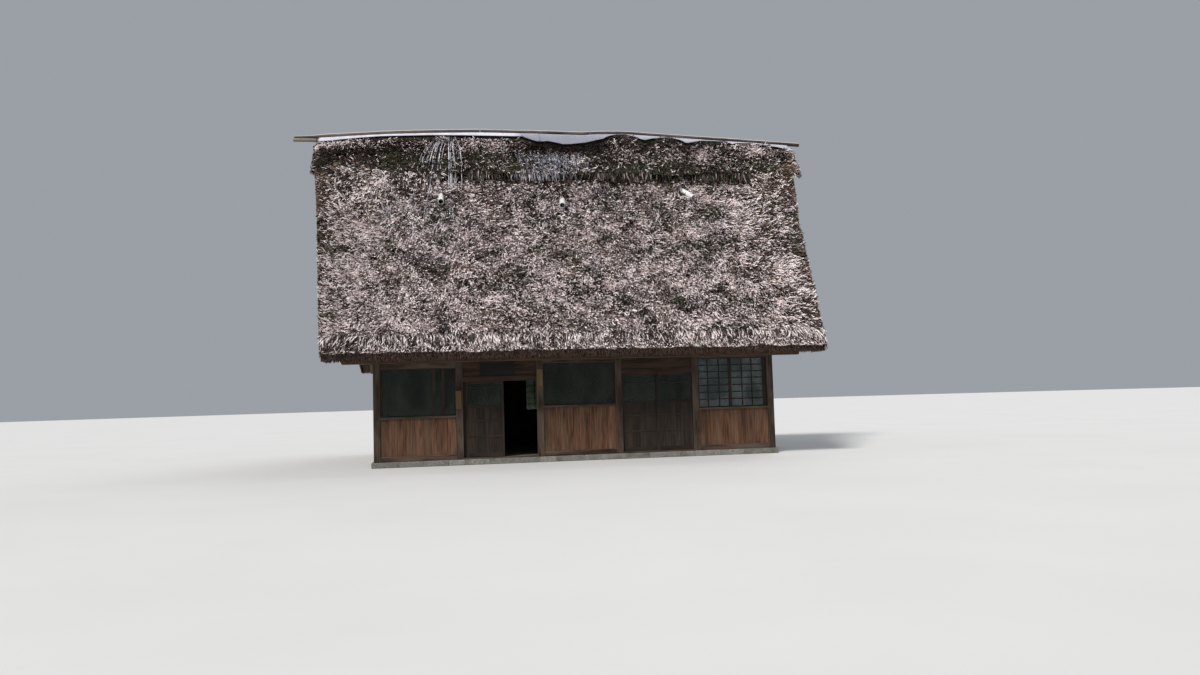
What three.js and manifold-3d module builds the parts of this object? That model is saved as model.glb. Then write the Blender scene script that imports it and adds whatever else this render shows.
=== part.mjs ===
// A thatched farmhouse of one storey: dark timber walls, five bays long, under a steep gable roof of
// thick thatch, with a thatch cap, a bent metal sheet and three poles along the ridge. Two of the front
// bays are doorways, each with two sliding leaves.
// Millimetres, +Z up. The origin is the centre of the underside of the stone plinth. The front faces -Y.

import * as THREE from "three";
import { mergeVertices } from "three/addons/utils/BufferGeometryUtils.js";
import Module from "manifold-3d";

const wasm = await Module();
wasm.setup();

// Plan
const KEN = 1820; // one bay, from post to post
const HALF_LENGTH = 2.5 * KEN;
const HALF_DEPTH = 1.75 * KEN;
const FIT = 0.3; // gap between pieces that touch

// Ground
const PLINTH_TOP = 120;
const PLINTH_LEDGE = 45;
const FLOOR_THICKNESS = 25;
const THRESHOLD_THICKNESS = 30;
const RAIL_HEIGHT = 5;
const RAIL_WIDTH = 12;

// Wall timbers
const POST = 150;
const GROUND_SILL_TOP = 240;
const SILL_HALF_WIDTH = 65;
const BOARD_HALF_WIDTH = 45;
const HEAD_HALF_WIDTH = 55;
const LAP = 5; // how far joined timbers reach into each other
const WINDOW_SILL_HEIGHT = 40;
const WINDOW_SILL_NOSE = 82;
const SIDE_POST_AT = KEN / 2;

// Eave beams and tie beams
const BEAM_BOTTOM = 2310;
const BEAM_TOP = 2560;
const BEAM_HALF_WIDTH = 90;
const BEAM_HALF_LENGTH = 5300;
const TIE_TOP = 2760;
const TIE_WIDTH = 150;

// Windows: height of the opening, and each upright's two edges from the left side of the opening
const WINDOWS = {
  left: { z: [1110, 2190], uprights: [[0, 40], [1140, 1220], [1350, 1425], [1620, 1670]] },
  middle: { z: [1270, 2240], uprights: [[0, 35], [1635, 1670]] },
  right: { z: [1110, 2280], uprights: [[0, 30], [745, 815], [1575, 1670]] },
  plain: { z: [1110, 2190], uprights: [[0, 40], [805, 865], [1630, 1670]] },
};
const SASH_HALF_DEPTH = 20;
const SASH_RAIL = 28;
const GLASS_THICKNESS = 4;

// Doors
const DOORS = {
  left: { lintel: 1860, board: 1970 },
  right: { lintel: 1950, board: 2060 },
};
const LEAF_WIDTH = 850;
const LEAF_HALF_DEPTH = 15;
const TRACK_OFFSET = 19; // from the middle of the wall to the middle of each track
const RUN = 5; // running clearance of a leaf
const GROOVE_DEPTH = 15;
const LEAF_STILE = 45;
const LEAF_TOP_RAIL = 60;
const LEAF_BOTTOM_RAIL = 95;
const LOCK_RAIL_Z = [1262, 1312];
const GLAZING_BAR_Z = [1715, 1733];
const LEAF_PANEL_HALF_DEPTH = 7;
const OPEN_LEAF_SLIDE = 745; // how far the open leaf stands from its closed place
const HEAD_BOARD_Y = [-45, -15];
const SIGN = { x: [-2255, -1490], z: [1976, 2304], thickness: 28 };

// Rafters and purlins
const SLOPE = THREE.MathUtils.degToRad(54);
const COS = Math.cos(SLOPE);
const SIN = Math.sin(SLOPE);
const TAN = Math.tan(SLOPE);
const RAFTER_DEPTH = 140;
const RAFTER_WIDTH = 120;
const LIGHT_RAFTER_WIDTH = 80;
const PURLIN_HEIGHT = 80;
const PURLIN_NOTCH = 20;
const PURLIN_WIDTH = 90;
const PURLINS_AT = [300, 1500, 2700, 3900, 5100];
const PURLIN_INSET = 300; // from the verge of the thatch
const VERGE_RAFTER_X = 5225;
const GABLE_HALF_THICKNESS = 30;
const GABLE_PEAK_CUT = 120; // below the point where the rafters meet
const VENT = { half: 600, z: [3600, 4400], bar: 40, bars: 7 };

// Thatch: the outer face of each slope swells and sinks in broad and fine waves and in tufts, and is even
// under the cap
const EAVE_REACH = 4190; // eave edge of the thatch from the middle of the house
const EAVE_Z = 2510;
const VERGE_X = 5620; // half length of the thatch at the eave
const VERGE_LEAN = 0.1196; // growth of that half length with height
const CORNER_DROOP = 90;
const DROOP_REACH = 1500; // up the slope
const RIDGE_FLAT = 200; // half width of the flat top under the ridge cap
const EAVE_TO_FLAT = (EAVE_REACH - RIDGE_FLAT) / COS;
const THATCH_COLUMNS = 48; // between the rounded verges
const THATCH_ROWS = 23; // between the rounded eave and the end of the waves
const ROUND_DROP = [[0, 60], [80, 16], [240, 0]]; // distance from the edge, and how far the face drops
const SWELL = { end: 5750, fade: 700, broad: 20, fine: 12, tuft: 16, tuftSpacing: 720 };
const INNER_LENGTH_SHARE = 0.985; // the inner face is a little shorter than the outer one

// Ridge: the line that its crest follows, then the half profile of the cap from that line
const RIDGE_LINE = [
  [-6840, 8240], [-6240, 8334], [-5180, 8415], [-4410, 8461], [-3380, 8504], [-2120, 8535],
  [-600, 8526], [700, 8504], [1000, 8533], [1720, 8548], [2270, 8520], [3110, 8473],
  [3960, 8427], [5100, 8363], [6790, 8266],
];
const CREST = [[0, 0], [140, -35], [270, -140], [460, -401.5]];
const CREST_SHOULDER = 270; // the profile is steeper past it
const CAP_X = [-6250, 6430];
const CAP_LIP = { y: 1000, z: 7260 };
const CAP_ENDS = [[0, 0.62], [60, 0.86], [170, 1]]; // distance from the end, and share of the full thickness
const CAP_BULGE = 45; // of the flank, between the crest profile and the lip
const CAP_FLANK = [0.36, 0.72, 1];
const CAP_INNER_Y = [0, 100, 200, 330, 470, 600];
const SHEET_GAUGE = 5;
const SHEET_LIFT = 8; // off the cap, away from the ridge line
// Places along the sheet, and the width of its front and rear half there
const SHEET_EDGE = [
  [-6200, 302], [-5530, 273], [-4650, 233], [-3380, 250], [-2100, 283], [-1000, 282], [-840, 330],
  [-590, 403], [-300, 380], [-110, 410], [70, 446], [280, 440], [820, 375], [1190, 320], [1460, 190],
  [1620, 152], [1850, 152], [2040, 230], [2200, 307], [2320, 323], [2630, 247], [2960, 152], [3090, 152],
  [3250, 210], [3460, 328], [3740, 271], [3985, 190], [4640, 152], [4760, 290], [4930, 211], [5300, 165],
  [5690, 204], [6260, 308], [6400, 320],
];
const POLES = { left: [-6840, -2080], middle: [-2060, 880], right: [6790, 900] }; // thick end, thin end
const POLE_RADIUS = 62;
const POLE_TAPER = 0.82;
const POLE_SIDES = 10;

// Materials
const STRAW = paint(0x8f8078, 1);
const OLD_STRAW = paint(0x5f5446, 1);
const POST_WOOD = paint(0x5d4738, 0.8);
const BOARD_WOOD = paint(0x43302a, 0.8);
const BEAM_WOOD = paint(0x6e5444, 0.8);
const LEAF_WOOD = paint(0x4a382e, 0.7);
const ROOF_WOOD = paint(0x4f4033, 0.85);
const POLE_WOOD = paint(0x857a6e, 0.85);
const SHEET_METAL = paint(0xb9b8c2, 0.45, 0.7);
const STONE = paint(0x77746d, 0.9);
const EARTH = paint(0x8a7f70, 0.95);
const GLASS = paint(0x2c3a36, 0.05);
const BLACK_BOARD = paint(0x16161a, 0.6);

function paint(color, roughness, metalness = 0) {
  return new THREE.MeshStandardMaterial({ color, roughness, metalness });
}

// Geometry to solid and back
function solidOf(geometry) {
  const bare = geometry.clone();
  bare.deleteAttribute("normal");
  bare.deleteAttribute("uv");
  const merged = mergeVertices(bare, 1e-3);
  const vertProperties = merged.attributes.position.array;
  const triVerts = new Uint32Array(merged.index.array);
  return new wasm.Manifold(new wasm.Mesh({ numProp: 3, vertProperties, triVerts }));
}

function geometryOf(solid) {
  const mesh = solid.getMesh();
  const geometry = new THREE.BufferGeometry();
  geometry.setAttribute("position", new THREE.BufferAttribute(new Float32Array(mesh.vertProperties), 3));
  geometry.setIndex(new THREE.BufferAttribute(new Uint32Array(mesh.triVerts), 1));
  geometry.computeVertexNormals();
  return geometry;
}

function join(solids) {
  return solids.reduce((all, solid) => all.add(solid));
}

// A block between two places on each axis
function block([x0, x1], [y0, y1], [z0, z1]) {
  const box = new THREE.BoxGeometry(x1 - x0, y1 - y0, z1 - z0);
  box.translate((x0 + x1) / 2, (y0 + y1) / 2, (z0 + z1) / 2);
  return solidOf(box);
}

function across(halfWidth) {
  return [-halfWidth, halfWidth];
}

// A prism along X, from an outline of [y, z] points
function prismAlongX(outline, [x0, x1]) {
  const shape = new THREE.Shape(outline.map(([y, z]) => new THREE.Vector2(y, z)));
  const prism = new THREE.ExtrudeGeometry(shape, { depth: x1 - x0, bevelEnabled: false });
  const toWorld = new THREE.Matrix4().makeBasis(
    new THREE.Vector3(0, 1, 0),
    new THREE.Vector3(0, 0, 1),
    new THREE.Vector3(1, 0, 0),
  );
  prism.applyMatrix4(toWorld);
  prism.translate(x0, 0, 0);
  return solidOf(prism);
}

// A closed sheet between an upper and a lower grid of points with the same rows and columns
function sheetBetween(upper, lower) {
  const rows = upper.length;
  const columns = upper[0].length;
  const points = [...upper.flat(), ...lower.flat()].flat();
  const top = (row, column) => row * columns + column;
  const under = (row, column) => rows * columns + top(row, column);
  const faces = [];
  const quad = (a, b, c, d) => faces.push(a, b, c, a, c, d);
  for (let row = 0; row < rows - 1; row++) {
    for (let column = 0; column < columns - 1; column++) {
      quad(top(row, column), top(row, column + 1), top(row + 1, column + 1), top(row + 1, column));
      quad(under(row, column), under(row + 1, column), under(row + 1, column + 1), under(row, column + 1));
    }
    const last = columns - 1;
    quad(top(row + 1, 0), under(row + 1, 0), under(row, 0), top(row, 0));
    quad(top(row, last), under(row, last), under(row + 1, last), top(row + 1, last));
  }
  for (let column = 0; column < columns - 1; column++) {
    const last = rows - 1;
    quad(top(0, column), under(0, column), under(0, column + 1), top(0, column + 1));
    quad(top(last, column + 1), under(last, column + 1), under(last, column), top(last, column));
  }
  return surface(points, faces);
}

function surface(points, faces) {
  const geometry = new THREE.BufferGeometry();
  geometry.setAttribute("position", new THREE.BufferAttribute(new Float32Array(points), 3));
  geometry.setIndex(faces);
  geometry.computeVertexNormals();
  return geometry;
}

// One named piece of the house, in the group that places it
function piece(group, name, geometry, material) {
  const mesh = new THREE.Mesh(geometry, material);
  mesh.name = name;
  group.add(mesh);
  return mesh;
}

// The stone plinth, the floor in it and the thresholds of the two doorways
function addGround(house) {
  const outer = POST / 2 + PLINTH_LEDGE;
  const plinth = block(across(HALF_LENGTH + outer), across(HALF_DEPTH + outer), [0, PLINTH_TOP]);
  piece(house, "stone_plinth", geometryOf(plinth), STONE);
  const inner = POST / 2 + LAP;
  const base = PLINTH_TOP + FIT;
  const floor = block(
    across(HALF_LENGTH - inner),
    across(HALF_DEPTH - inner),
    [base, PLINTH_TOP + FLOOR_THICKNESS],
  );
  piece(house, "floor", geometryOf(floor), EARTH);
}

// A wall in its own frame: X along it, outside towards -Y, with its posts, ground sill and boards
function post(x) {
  return block([x - POST / 2, x + POST / 2], across(POST / 2), [PLINTH_TOP + FIT, BEAM_BOTTOM - FIT]);
}

function groundSill(span) {
  return block(span, across(SILL_HALF_WIDTH), [PLINTH_TOP + FIT, GROUND_SILL_TOP]);
}

function boards(span, z) {
  return block(span, across(BOARD_HALF_WIDTH), z);
}

// The sill and head of a window and the boards under it, between two posts
function windowBay([x0, x1], [sill, head]) {
  const span = [x0 - LAP, x1 + LAP];
  return [
    boards(span, [GROUND_SILL_TOP - LAP, sill - WINDOW_SILL_HEIGHT + LAP]),
    block(span, [-WINDOW_SILL_NOSE, SILL_HALF_WIDTH], [sill - WINDOW_SILL_HEIGHT, sill]),
    block(span, across(HEAD_HALF_WIDTH), [head, BEAM_BOTTOM - FIT]),
  ];
}

// Bars of a window frame, which reaches past its opening into the wall, or stays short of it where the
// reach is negative. The middle uprights lie in front of the glass.
function windowFrame([x0, x1], [z0, z1], uprights, reach) {
  const depth = across(SASH_HALF_DEPTH);
  const x = [x0 - reach, x1 + reach];
  const z = [z0 - reach, z1 + reach];
  const last = uprights.length - 1;
  const bars = uprights.map(([from, to], index) => {
    const isEdge = index === 0 || index === last;
    const span = [index === 0 ? x[0] : x0 + from, index === last ? x[1] : x0 + to];
    return block(span, isEdge ? depth : [-SASH_HALF_DEPTH, 0], z);
  });
  bars.push(block(x, depth, [z[0], z0 + SASH_RAIL]));
  bars.push(block(x, depth, [z1 - SASH_RAIL, z[1]]));
  return bars;
}

function windowGlass(x0, [z0, z1], uprights) {
  const x = [x0 + uprights[0][1] + FIT, x0 + uprights[uprights.length - 1][0] - FIT];
  const z = [z0 + SASH_RAIL + FIT, z1 - SASH_RAIL - FIT];
  return block(x, [FIT, FIT + GLASS_THICKNESS], z);
}

function clearOf(firstPostX, secondPostX) {
  return [firstPostX + POST / 2, secondPostX - POST / 2];
}

// One window bay of the front, with its two posts, sash frame and glass
function addFrontWindowBay(front, side, firstPostX) {
  const clear = clearOf(firstPostX, firstPostX + KEN);
  const { z, uprights } = WINDOWS[side];
  const wall = join([
    post(firstPostX),
    post(firstPostX + KEN),
    groundSill([clear[0] - LAP, clear[1] + LAP]),
    ...windowBay(clear, z),
  ]);
  piece(front, `front_wall_${side}`, geometryOf(wall), POST_WOOD);
  const sash = join(windowFrame(clear, z, uprights, -FIT));
  piece(front, `front_window_${side}`, geometryOf(sash), LEAF_WOOD);
  piece(front, `front_glass_${side}`, geometryOf(windowGlass(clear[0], z, uprights)), GLASS);
}

// The fixed parts of a doorway: threshold with two rails, grooved lintel and the board over it
function addDoorFrame(front, side, clear) {
  const { lintel, board } = DOORS[side];
  const span = [clear[0] + FIT, clear[1] - FIT];
  const top = PLINTH_TOP + THRESHOLD_THICKNESS;
  const threshold = [block(span, across(SILL_HALF_WIDTH), [PLINTH_TOP + FIT, top])];
  for (const track of [-TRACK_OFFSET, TRACK_OFFSET]) {
    const rail = [track - RAIL_WIDTH / 2, track + RAIL_WIDTH / 2];
    threshold.push(block(span, rail, [top - LAP, top + RAIL_HEIGHT]));
  }
  piece(front, `door_threshold_${side}`, geometryOf(join(threshold)), LEAF_WOOD);

  const groove = across(TRACK_OFFSET + LEAF_HALF_DEPTH + RUN);
  const head = block(span, across(SILL_HALF_WIDTH), [lintel, board])
    .subtract(block(clear, groove, [lintel - LAP, lintel + GROOVE_DEPTH]))
    .add(block(span, HEAD_BOARD_Y, [board - LAP, BEAM_BOTTOM - FIT]));
  piece(front, `door_head_${side}`, geometryOf(head), BOARD_WOOD);
}

// A sliding leaf centred on X = 0, with its lower edge just over the rail
function leafParts(lintel) {
  const depth = across(LEAF_HALF_DEPTH);
  const bottom = PLINTH_TOP + THRESHOLD_THICKNESS + RAIL_HEIGHT + FIT;
  const top = lintel + GROOVE_DEPTH - RUN;
  const half = LEAF_WIDTH / 2;
  const inner = half - LEAF_STILE;
  const glassTop = top - LEAF_TOP_RAIL;
  const rails = [
    [bottom, bottom + LEAF_BOTTOM_RAIL],
    LOCK_RAIL_Z,
    [glassTop, top],
  ];
  const frame = rails.map((z) => block(across(half), depth, z));
  frame.push(block([-half, -inner], depth, [bottom, top]));
  frame.push(block([inner, half], depth, [bottom, top]));
  frame.push(block(across(inner + LAP), [-LEAF_HALF_DEPTH, -GLASS_THICKNESS], GLAZING_BAR_Z));
  const panelZ = [bottom + LAP, LOCK_RAIL_Z[0] + LAP];
  frame.push(block(across(inner + LAP), across(LEAF_PANEL_HALF_DEPTH), panelZ));
  const glassZ = [LOCK_RAIL_Z[1] + FIT, glassTop - FIT];
  const glass = block(across(inner - FIT), across(GLASS_THICKNESS / 2), glassZ);
  return { frame: geometryOf(join(frame)), glass: geometryOf(glass) };
}

function addLeaf(front, name, centreX, track, { frame, glass }) {
  const leaf = new THREE.Group();
  leaf.position.set(centreX, track, 0);
  front.add(leaf);
  piece(leaf, name, frame, LEAF_WOOD);
  piece(leaf, `${name}_glass`, glass, GLASS);
}

// A doorway: the right leaf runs on the outer rail, the left leaf on the inner one
function addDoorway(front, side, firstPostX, rightLeafSlide) {
  const clear = clearOf(firstPostX, firstPostX + KEN);
  addDoorFrame(front, side, clear);
  const parts = leafParts(DOORS[side].lintel);
  const leftX = clear[0] + RUN + LEAF_WIDTH / 2;
  const rightX = clear[1] - RUN - LEAF_WIDTH / 2;
  addLeaf(front, `${side}_doorway_left_leaf`, leftX, TRACK_OFFSET, parts);
  addLeaf(front, `${side}_doorway_right_leaf`, rightX - rightLeafSlide, -TRACK_OFFSET, parts);
}

function addFront(house) {
  const front = new THREE.Group();
  front.position.y = -HALF_DEPTH;
  house.add(front);
  const postX = (index) => index * KEN - HALF_LENGTH;
  addFrontWindowBay(front, "left", postX(0));
  addFrontWindowBay(front, "middle", postX(2));
  addFrontWindowBay(front, "right", postX(4));
  addDoorway(front, "left", postX(1), OPEN_LEAF_SLIDE);
  addDoorway(front, "right", postX(3), 0);
  const back = HEAD_BOARD_Y[0] - FIT;
  const sign = block(SIGN.x, [back - SIGN.thickness, back], SIGN.z);
  piece(front, "sign_board", geometryOf(sign), BLACK_BOARD);
}

// A wall with one window in its middle bay; its frame is fixed in the wall
function plainWall(span, posts) {
  const clear = clearOf(-KEN / 2, KEN / 2);
  const { z, uprights } = WINDOWS.plain;
  const boardZ = [GROUND_SILL_TOP - LAP, BEAM_BOTTOM - FIT];
  const wall = join([
    ...posts.map(post),
    groundSill(span),
    boards([span[0], clear[0]], boardZ),
    boards([clear[1], span[1]], boardZ),
    ...windowBay(clear, z),
    ...windowFrame(clear, z, uprights, LAP),
  ]);
  return { wall, glass: windowGlass(clear[0], z, uprights) };
}

function addRear(house) {
  const rear = new THREE.Group();
  rear.rotation.z = Math.PI;
  rear.position.y = HALF_DEPTH;
  house.add(rear);
  const posts = [0, 1, 2, 3, 4, 5].map((index) => index * KEN - HALF_LENGTH);
  const { wall, glass } = plainWall([-HALF_LENGTH, HALF_LENGTH], posts);
  piece(rear, "rear_wall", geometryOf(wall), POST_WOOD);
  piece(rear, "rear_glass", geometryOf(glass), GLASS);
}

// A side wall up to the end tie beam, and the boarded gable with a barred vent that stands on it
function gableHalfWidth(z) {
  return HALF_DEPTH - (z - BEAM_TOP) / TAN - 2 * FIT;
}

function gable() {
  const beamEnd = HALF_DEPTH + BEAM_HALF_WIDTH;
  const chord = block(across(beamEnd), across(TIE_WIDTH / 2), [BEAM_TOP + FIT, TIE_TOP]);
  const foot = TIE_TOP - LAP;
  const footHalf = gableHalfWidth(TIE_TOP);
  const peak = BEAM_TOP + HALF_DEPTH * TAN - GABLE_PEAK_CUT;
  const peakHalf = gableHalfWidth(peak);
  const outline = [[-footHalf, foot], [footHalf, foot], [peakHalf, peak], [-peakHalf, peak]];
  const turn = new THREE.Matrix4().makeRotationZ(-Math.PI / 2);
  const boarding = solidOf(
    geometryOf(prismAlongX(outline, across(GABLE_HALF_THICKNESS))).applyMatrix4(turn),
  );
  const reach = GABLE_HALF_THICKNESS + LAP;
  const vent = block(across(VENT.half), across(reach), VENT.z);
  const bars = [];
  for (let index = 1; index <= VENT.bars; index++) {
    const x = -VENT.half + (index * 2 * VENT.half) / (VENT.bars + 1);
    const barZ = [VENT.z[0] - LAP, VENT.z[1] + LAP];
    bars.push(block([x - VENT.bar / 2, x + VENT.bar / 2], across(VENT.bar / 2), barZ));
  }
  return join([chord, boarding.subtract(vent), ...bars]);
}

function addSide(house, side, x, turn) {
  const group = new THREE.Group();
  group.rotation.z = turn;
  group.position.x = x;
  house.add(group);
  const end = HALF_DEPTH - POST / 2 - FIT;
  const { wall, glass } = plainWall(across(end), [-SIDE_POST_AT, SIDE_POST_AT]);
  const beamEnd = HALF_DEPTH - BEAM_HALF_WIDTH - FIT;
  const head = block(across(beamEnd), across(POST / 2), [BEAM_BOTTOM - LAP, BEAM_TOP]);
  piece(group, `${side}_wall`, geometryOf(wall.add(head)), POST_WOOD);
  piece(group, `${side}_glass`, geometryOf(glass), GLASS);
  piece(group, `${side}_gable`, geometryOf(gable()), BOARD_WOOD);
}

// The eave beams on the posts and the tie beams across them
function addBeams(house) {
  for (const [side, y] of [["front", -HALF_DEPTH], ["rear", HALF_DEPTH]]) {
    const beam = block(across(BEAM_HALF_LENGTH), across(BEAM_HALF_WIDTH), [BEAM_BOTTOM, BEAM_TOP]);
    piece(house, `${side}_eave_beam`, geometryOf(beam), BEAM_WOOD).position.y = y;
  }
  const tieEnd = HALF_DEPTH + BEAM_HALF_WIDTH;
  const tie = geometryOf(block(across(TIE_WIDTH / 2), across(tieEnd), [BEAM_TOP + FIT, TIE_TOP]));
  for (let index = 1; index <= 4; index++) {
    piece(house, `tie_beam_${index}`, tie.clone(), ROOF_WOOD).position.x = index * KEN - HALF_LENGTH;
  }
}

// A point of the front slope: distance up the underside of the rafters, and height off it
function slopePoint(up, off) {
  return [-HALF_DEPTH + up * COS - off * SIN, BEAM_TOP + up * SIN + off * COS];
}

function halfLengthAt(z) {
  return VERGE_X + VERGE_LEAN * (z - EAVE_Z);
}

// A rafter from its foot at a given height to the middle of the house, as an upright slice
function rafter(x, width, footZ) {
  const underside = (y) => BEAM_TOP + (y + HALF_DEPTH) * TAN;
  const rise = RAFTER_DEPTH / COS;
  const footY = (z) => -HALF_DEPTH + (z - BEAM_TOP) / TAN;
  const outline = [
    [footY(footZ), footZ],
    [-FIT, underside(-FIT)],
    [-FIT, underside(-FIT) + rise],
    [footY(footZ) - rise / TAN, footZ],
  ];
  return prismAlongX(outline, [x - width / 2, x + width / 2]);
}

function purlin(up) {
  const low = RAFTER_DEPTH - PURLIN_NOTCH;
  const high = low + PURLIN_HEIGHT;
  const corners = [[0, low], [PURLIN_WIDTH, low], [PURLIN_WIDTH, high], [0, high]];
  const outline = corners.map(([along, off]) => slopePoint(up + along, off));
  return prismAlongX(outline, across(halfLengthAt(outline[0][1]) - PURLIN_INSET));
}

// Heavy rafters stand on the tie beams, light ones and the verge rafters on the eave beam
function rafterFrame() {
  const parts = PURLINS_AT.map(purlin);
  for (let index = 0; index <= 10; index++) {
    const x = (index * KEN) / 2 - HALF_LENGTH;
    const isOnTie = index % 2 === 0;
    const width = isOnTie ? RAFTER_WIDTH : LIGHT_RAFTER_WIDTH;
    parts.push(rafter(x, width, (isOnTie ? TIE_TOP : BEAM_TOP) + FIT));
  }
  for (const x of across(VERGE_RAFTER_X)) {
    parts.push(rafter(x, LIGHT_RAFTER_WIDTH, BEAM_TOP + FIT));
  }
  return geometryOf(join(parts));
}

// The thatch of one slope. Its outer face swells and sinks a little, is rounded along the eave and
// the verges, and is flat under the ridge cap.
function roundedDrop(distance) {
  for (let index = 1; index < ROUND_DROP.length; index++) {
    const [from, high] = ROUND_DROP[index - 1];
    const [to, low] = ROUND_DROP[index];
    if (distance < to) {
      return THREE.MathUtils.mapLinear(distance, from, to, high, low);
    }
  }
  return 0;
}

function swell(x, up) {
  const fade = 1 - THREE.MathUtils.smoothstep(up, SWELL.end - SWELL.fade, SWELL.end);
  const broad = Math.sin(x / 900 + 0.7) * Math.sin(up / 760 + 0.3);
  const fine = Math.sin(x / 370 + up / 900) * Math.cos(up / 410 - x / 1500);
  const turn = (2 * Math.PI) / SWELL.tuftSpacing;
  const tuft = Math.sin(turn * x + 1.6 * Math.sin(up / 610)) * Math.sin(turn * up + 1.3 * Math.sin(x / 830));
  return fade * (SWELL.broad * broad + SWELL.fine * fine + SWELL.tuft * tuft);
}

function thatchRows() {
  const rounded = ROUND_DROP.map(([distance]) => distance);
  const start = rounded[rounded.length - 1];
  const rows = [...rounded];
  for (let index = 1; index <= THATCH_ROWS; index++) {
    rows.push(THREE.MathUtils.lerp(start, SWELL.end, index / THATCH_ROWS));
  }
  rows.push(EAVE_TO_FLAT);
  return rows;
}

function thatchColumns(half) {
  const edges = ROUND_DROP.map(([distance]) => half - distance);
  const start = edges[edges.length - 1];
  const inner = [];
  for (let index = 1; index < THATCH_COLUMNS; index++) {
    inner.push(THREE.MathUtils.lerp(-start, start, index / THATCH_COLUMNS));
  }
  return [...edges.map((x) => -x), ...inner, ...edges.reverse()];
}

function outerThatchPoint(x, up, half) {
  const off = swell(x, up) - roundedDrop(half - Math.abs(x)) - roundedDrop(up);
  const droop = CORNER_DROOP * Math.abs(x / half) ** 4 * Math.max(0, 1 - up / DROOP_REACH);
  return [x, -EAVE_REACH + up * COS - off * SIN, EAVE_Z + up * SIN + off * COS - droop];
}

function thatchSlope() {
  const grid = thatchRows().map((up) => {
    const half = halfLengthAt(EAVE_Z + up * SIN);
    return thatchColumns(half).map((x) => outerThatchPoint(x, up, half));
  });
  const flatTop = grid[grid.length - 1];
  grid.push(flatTop.map(([x, , z]) => [x, -FIT, z]));

  // The inner face lies on the purlins, from the eave cut to the ridge
  const innerOff = RAFTER_DEPTH - PURLIN_NOTCH + PURLIN_HEIGHT + FIT;
  const [baseY, baseZ] = slopePoint(0, innerOff);
  const inset = (x) => x * INNER_LENGTH_SHARE;
  const eaveRow = grid[0].map(([x, , z]) => [inset(x), baseY + (z - baseZ) / TAN, z]);
  const ridgeRow = flatTop.map(([x]) => [inset(x), -FIT, baseZ + (-FIT - baseY) * TAN]);

  const columns = grid[0].length;
  const rows = grid.length;
  const points = [...grid.flat(), ...eaveRow, ...ridgeRow].flat();
  const outer = (row, column) => row * columns + column;
  const eave = (column) => rows * columns + column;
  const ridge = (column) => (rows + 1) * columns + column;
  const faces = [];
  const quad = (a, b, c, d) => faces.push(a, b, c, a, c, d);
  for (let column = 0; column < columns - 1; column++) {
    const next = column + 1;
    for (let row = 0; row < rows - 1; row++) {
      quad(outer(row, column), outer(row, next), outer(row + 1, next), outer(row + 1, column));
    }
    quad(outer(rows - 1, column), outer(rows - 1, next), ridge(next), ridge(column));
    quad(ridge(column), ridge(next), eave(next), eave(column));
    quad(eave(column), eave(next), outer(0, next), outer(0, column));
  }
  // Each verge face is a fan between the outer edge and the two inner corners
  for (let row = 0; row < rows - 1; row++) {
    const last = columns - 1;
    faces.push(outer(row + 1, 0), eave(0), outer(row, 0));
    faces.push(eave(last), outer(row + 1, last), outer(row, last));
  }
  faces.push(outer(rows - 1, 0), ridge(0), eave(0));
  faces.push(ridge(columns - 1), outer(rows - 1, columns - 1), eave(columns - 1));
  return surface(points, faces);
}

// A value read from a table of [place, value] pairs, straight between them
function readTable(table, place) {
  const next = Math.max(1, table.findIndex(([x]) => x >= place));
  const [from, low] = table[next - 1];
  const [to, high] = table[next];
  return THREE.MathUtils.mapLinear(place, from, to, low, high);
}

function ridgeZ(x) {
  return readTable(RIDGE_LINE, x);
}

// Places from one end to another, with each corner of the ridge line and the given places between them
function stationsAlong([from, to], places) {
  const corners = RIDGE_LINE.map(([x]) => x).filter((x) => x > from && x < to);
  return [...new Set([from, ...corners, ...places, to])].sort((a, b) => a - b);
}

function outerThatchZ(y) {
  return Math.min(EAVE_Z + (EAVE_REACH - Math.abs(y)) * TAN, EAVE_Z + (EAVE_REACH - RIDGE_FLAT) * TAN);
}

// The thatch cap: its crest follows the ridge line, and its flanks swell down to a level lip
function capProfile(x, slim) {
  const top = ridgeZ(x);
  const crest = CREST.map(([y, z]) => [y, top + z]);
  const [lastY, lastZ] = crest[crest.length - 1];
  const flank = CAP_FLANK.map((part) => {
    const bulge = CAP_BULGE * Math.sin(part * Math.PI);
    const y = THREE.MathUtils.lerp(lastY, CAP_LIP.y, part) + bulge;
    return [y, THREE.MathUtils.lerp(lastZ, CAP_LIP.z, part) + bulge / TAN];
  });
  const outer = [...crest, ...flank].map(([y, z]) => {
    const base = outerThatchZ(y) + FIT;
    return [y, base + (z - base) * slim];
  });
  const lipY = (EAVE_REACH * TAN + EAVE_Z - CAP_LIP.z) / TAN;
  const inner = [...CAP_INNER_Y, lipY].map((y) => [y, outerThatchZ(y) + 2 * FIT]);
  return { outer, inner };
}

function bothSides(half) {
  const front = half.slice(1).reverse().map(([y, z]) => [-y, z]);
  return [...front, ...half];
}

function ridgeCap() {
  const [left, right] = CAP_X;
  const ends = CAP_ENDS.flatMap(([distance]) => [left + distance, right - distance]);
  const upper = [];
  const lower = [];
  for (const x of stationsAlong(CAP_X, ends)) {
    const fromEnd = Math.min(x - left, right - x);
    const isInEnd = fromEnd < CAP_ENDS[CAP_ENDS.length - 1][0];
    const { outer, inner } = capProfile(x, isInEnd ? readTable(CAP_ENDS, fromEnd) : 1);
    upper.unshift(bothSides(outer).map(([y, z]) => [x, y, z]));
    lower.unshift(bothSides(inner).map(([y, z]) => [x, y, z]));
  }
  return sheetBetween(upper, lower);
}

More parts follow.
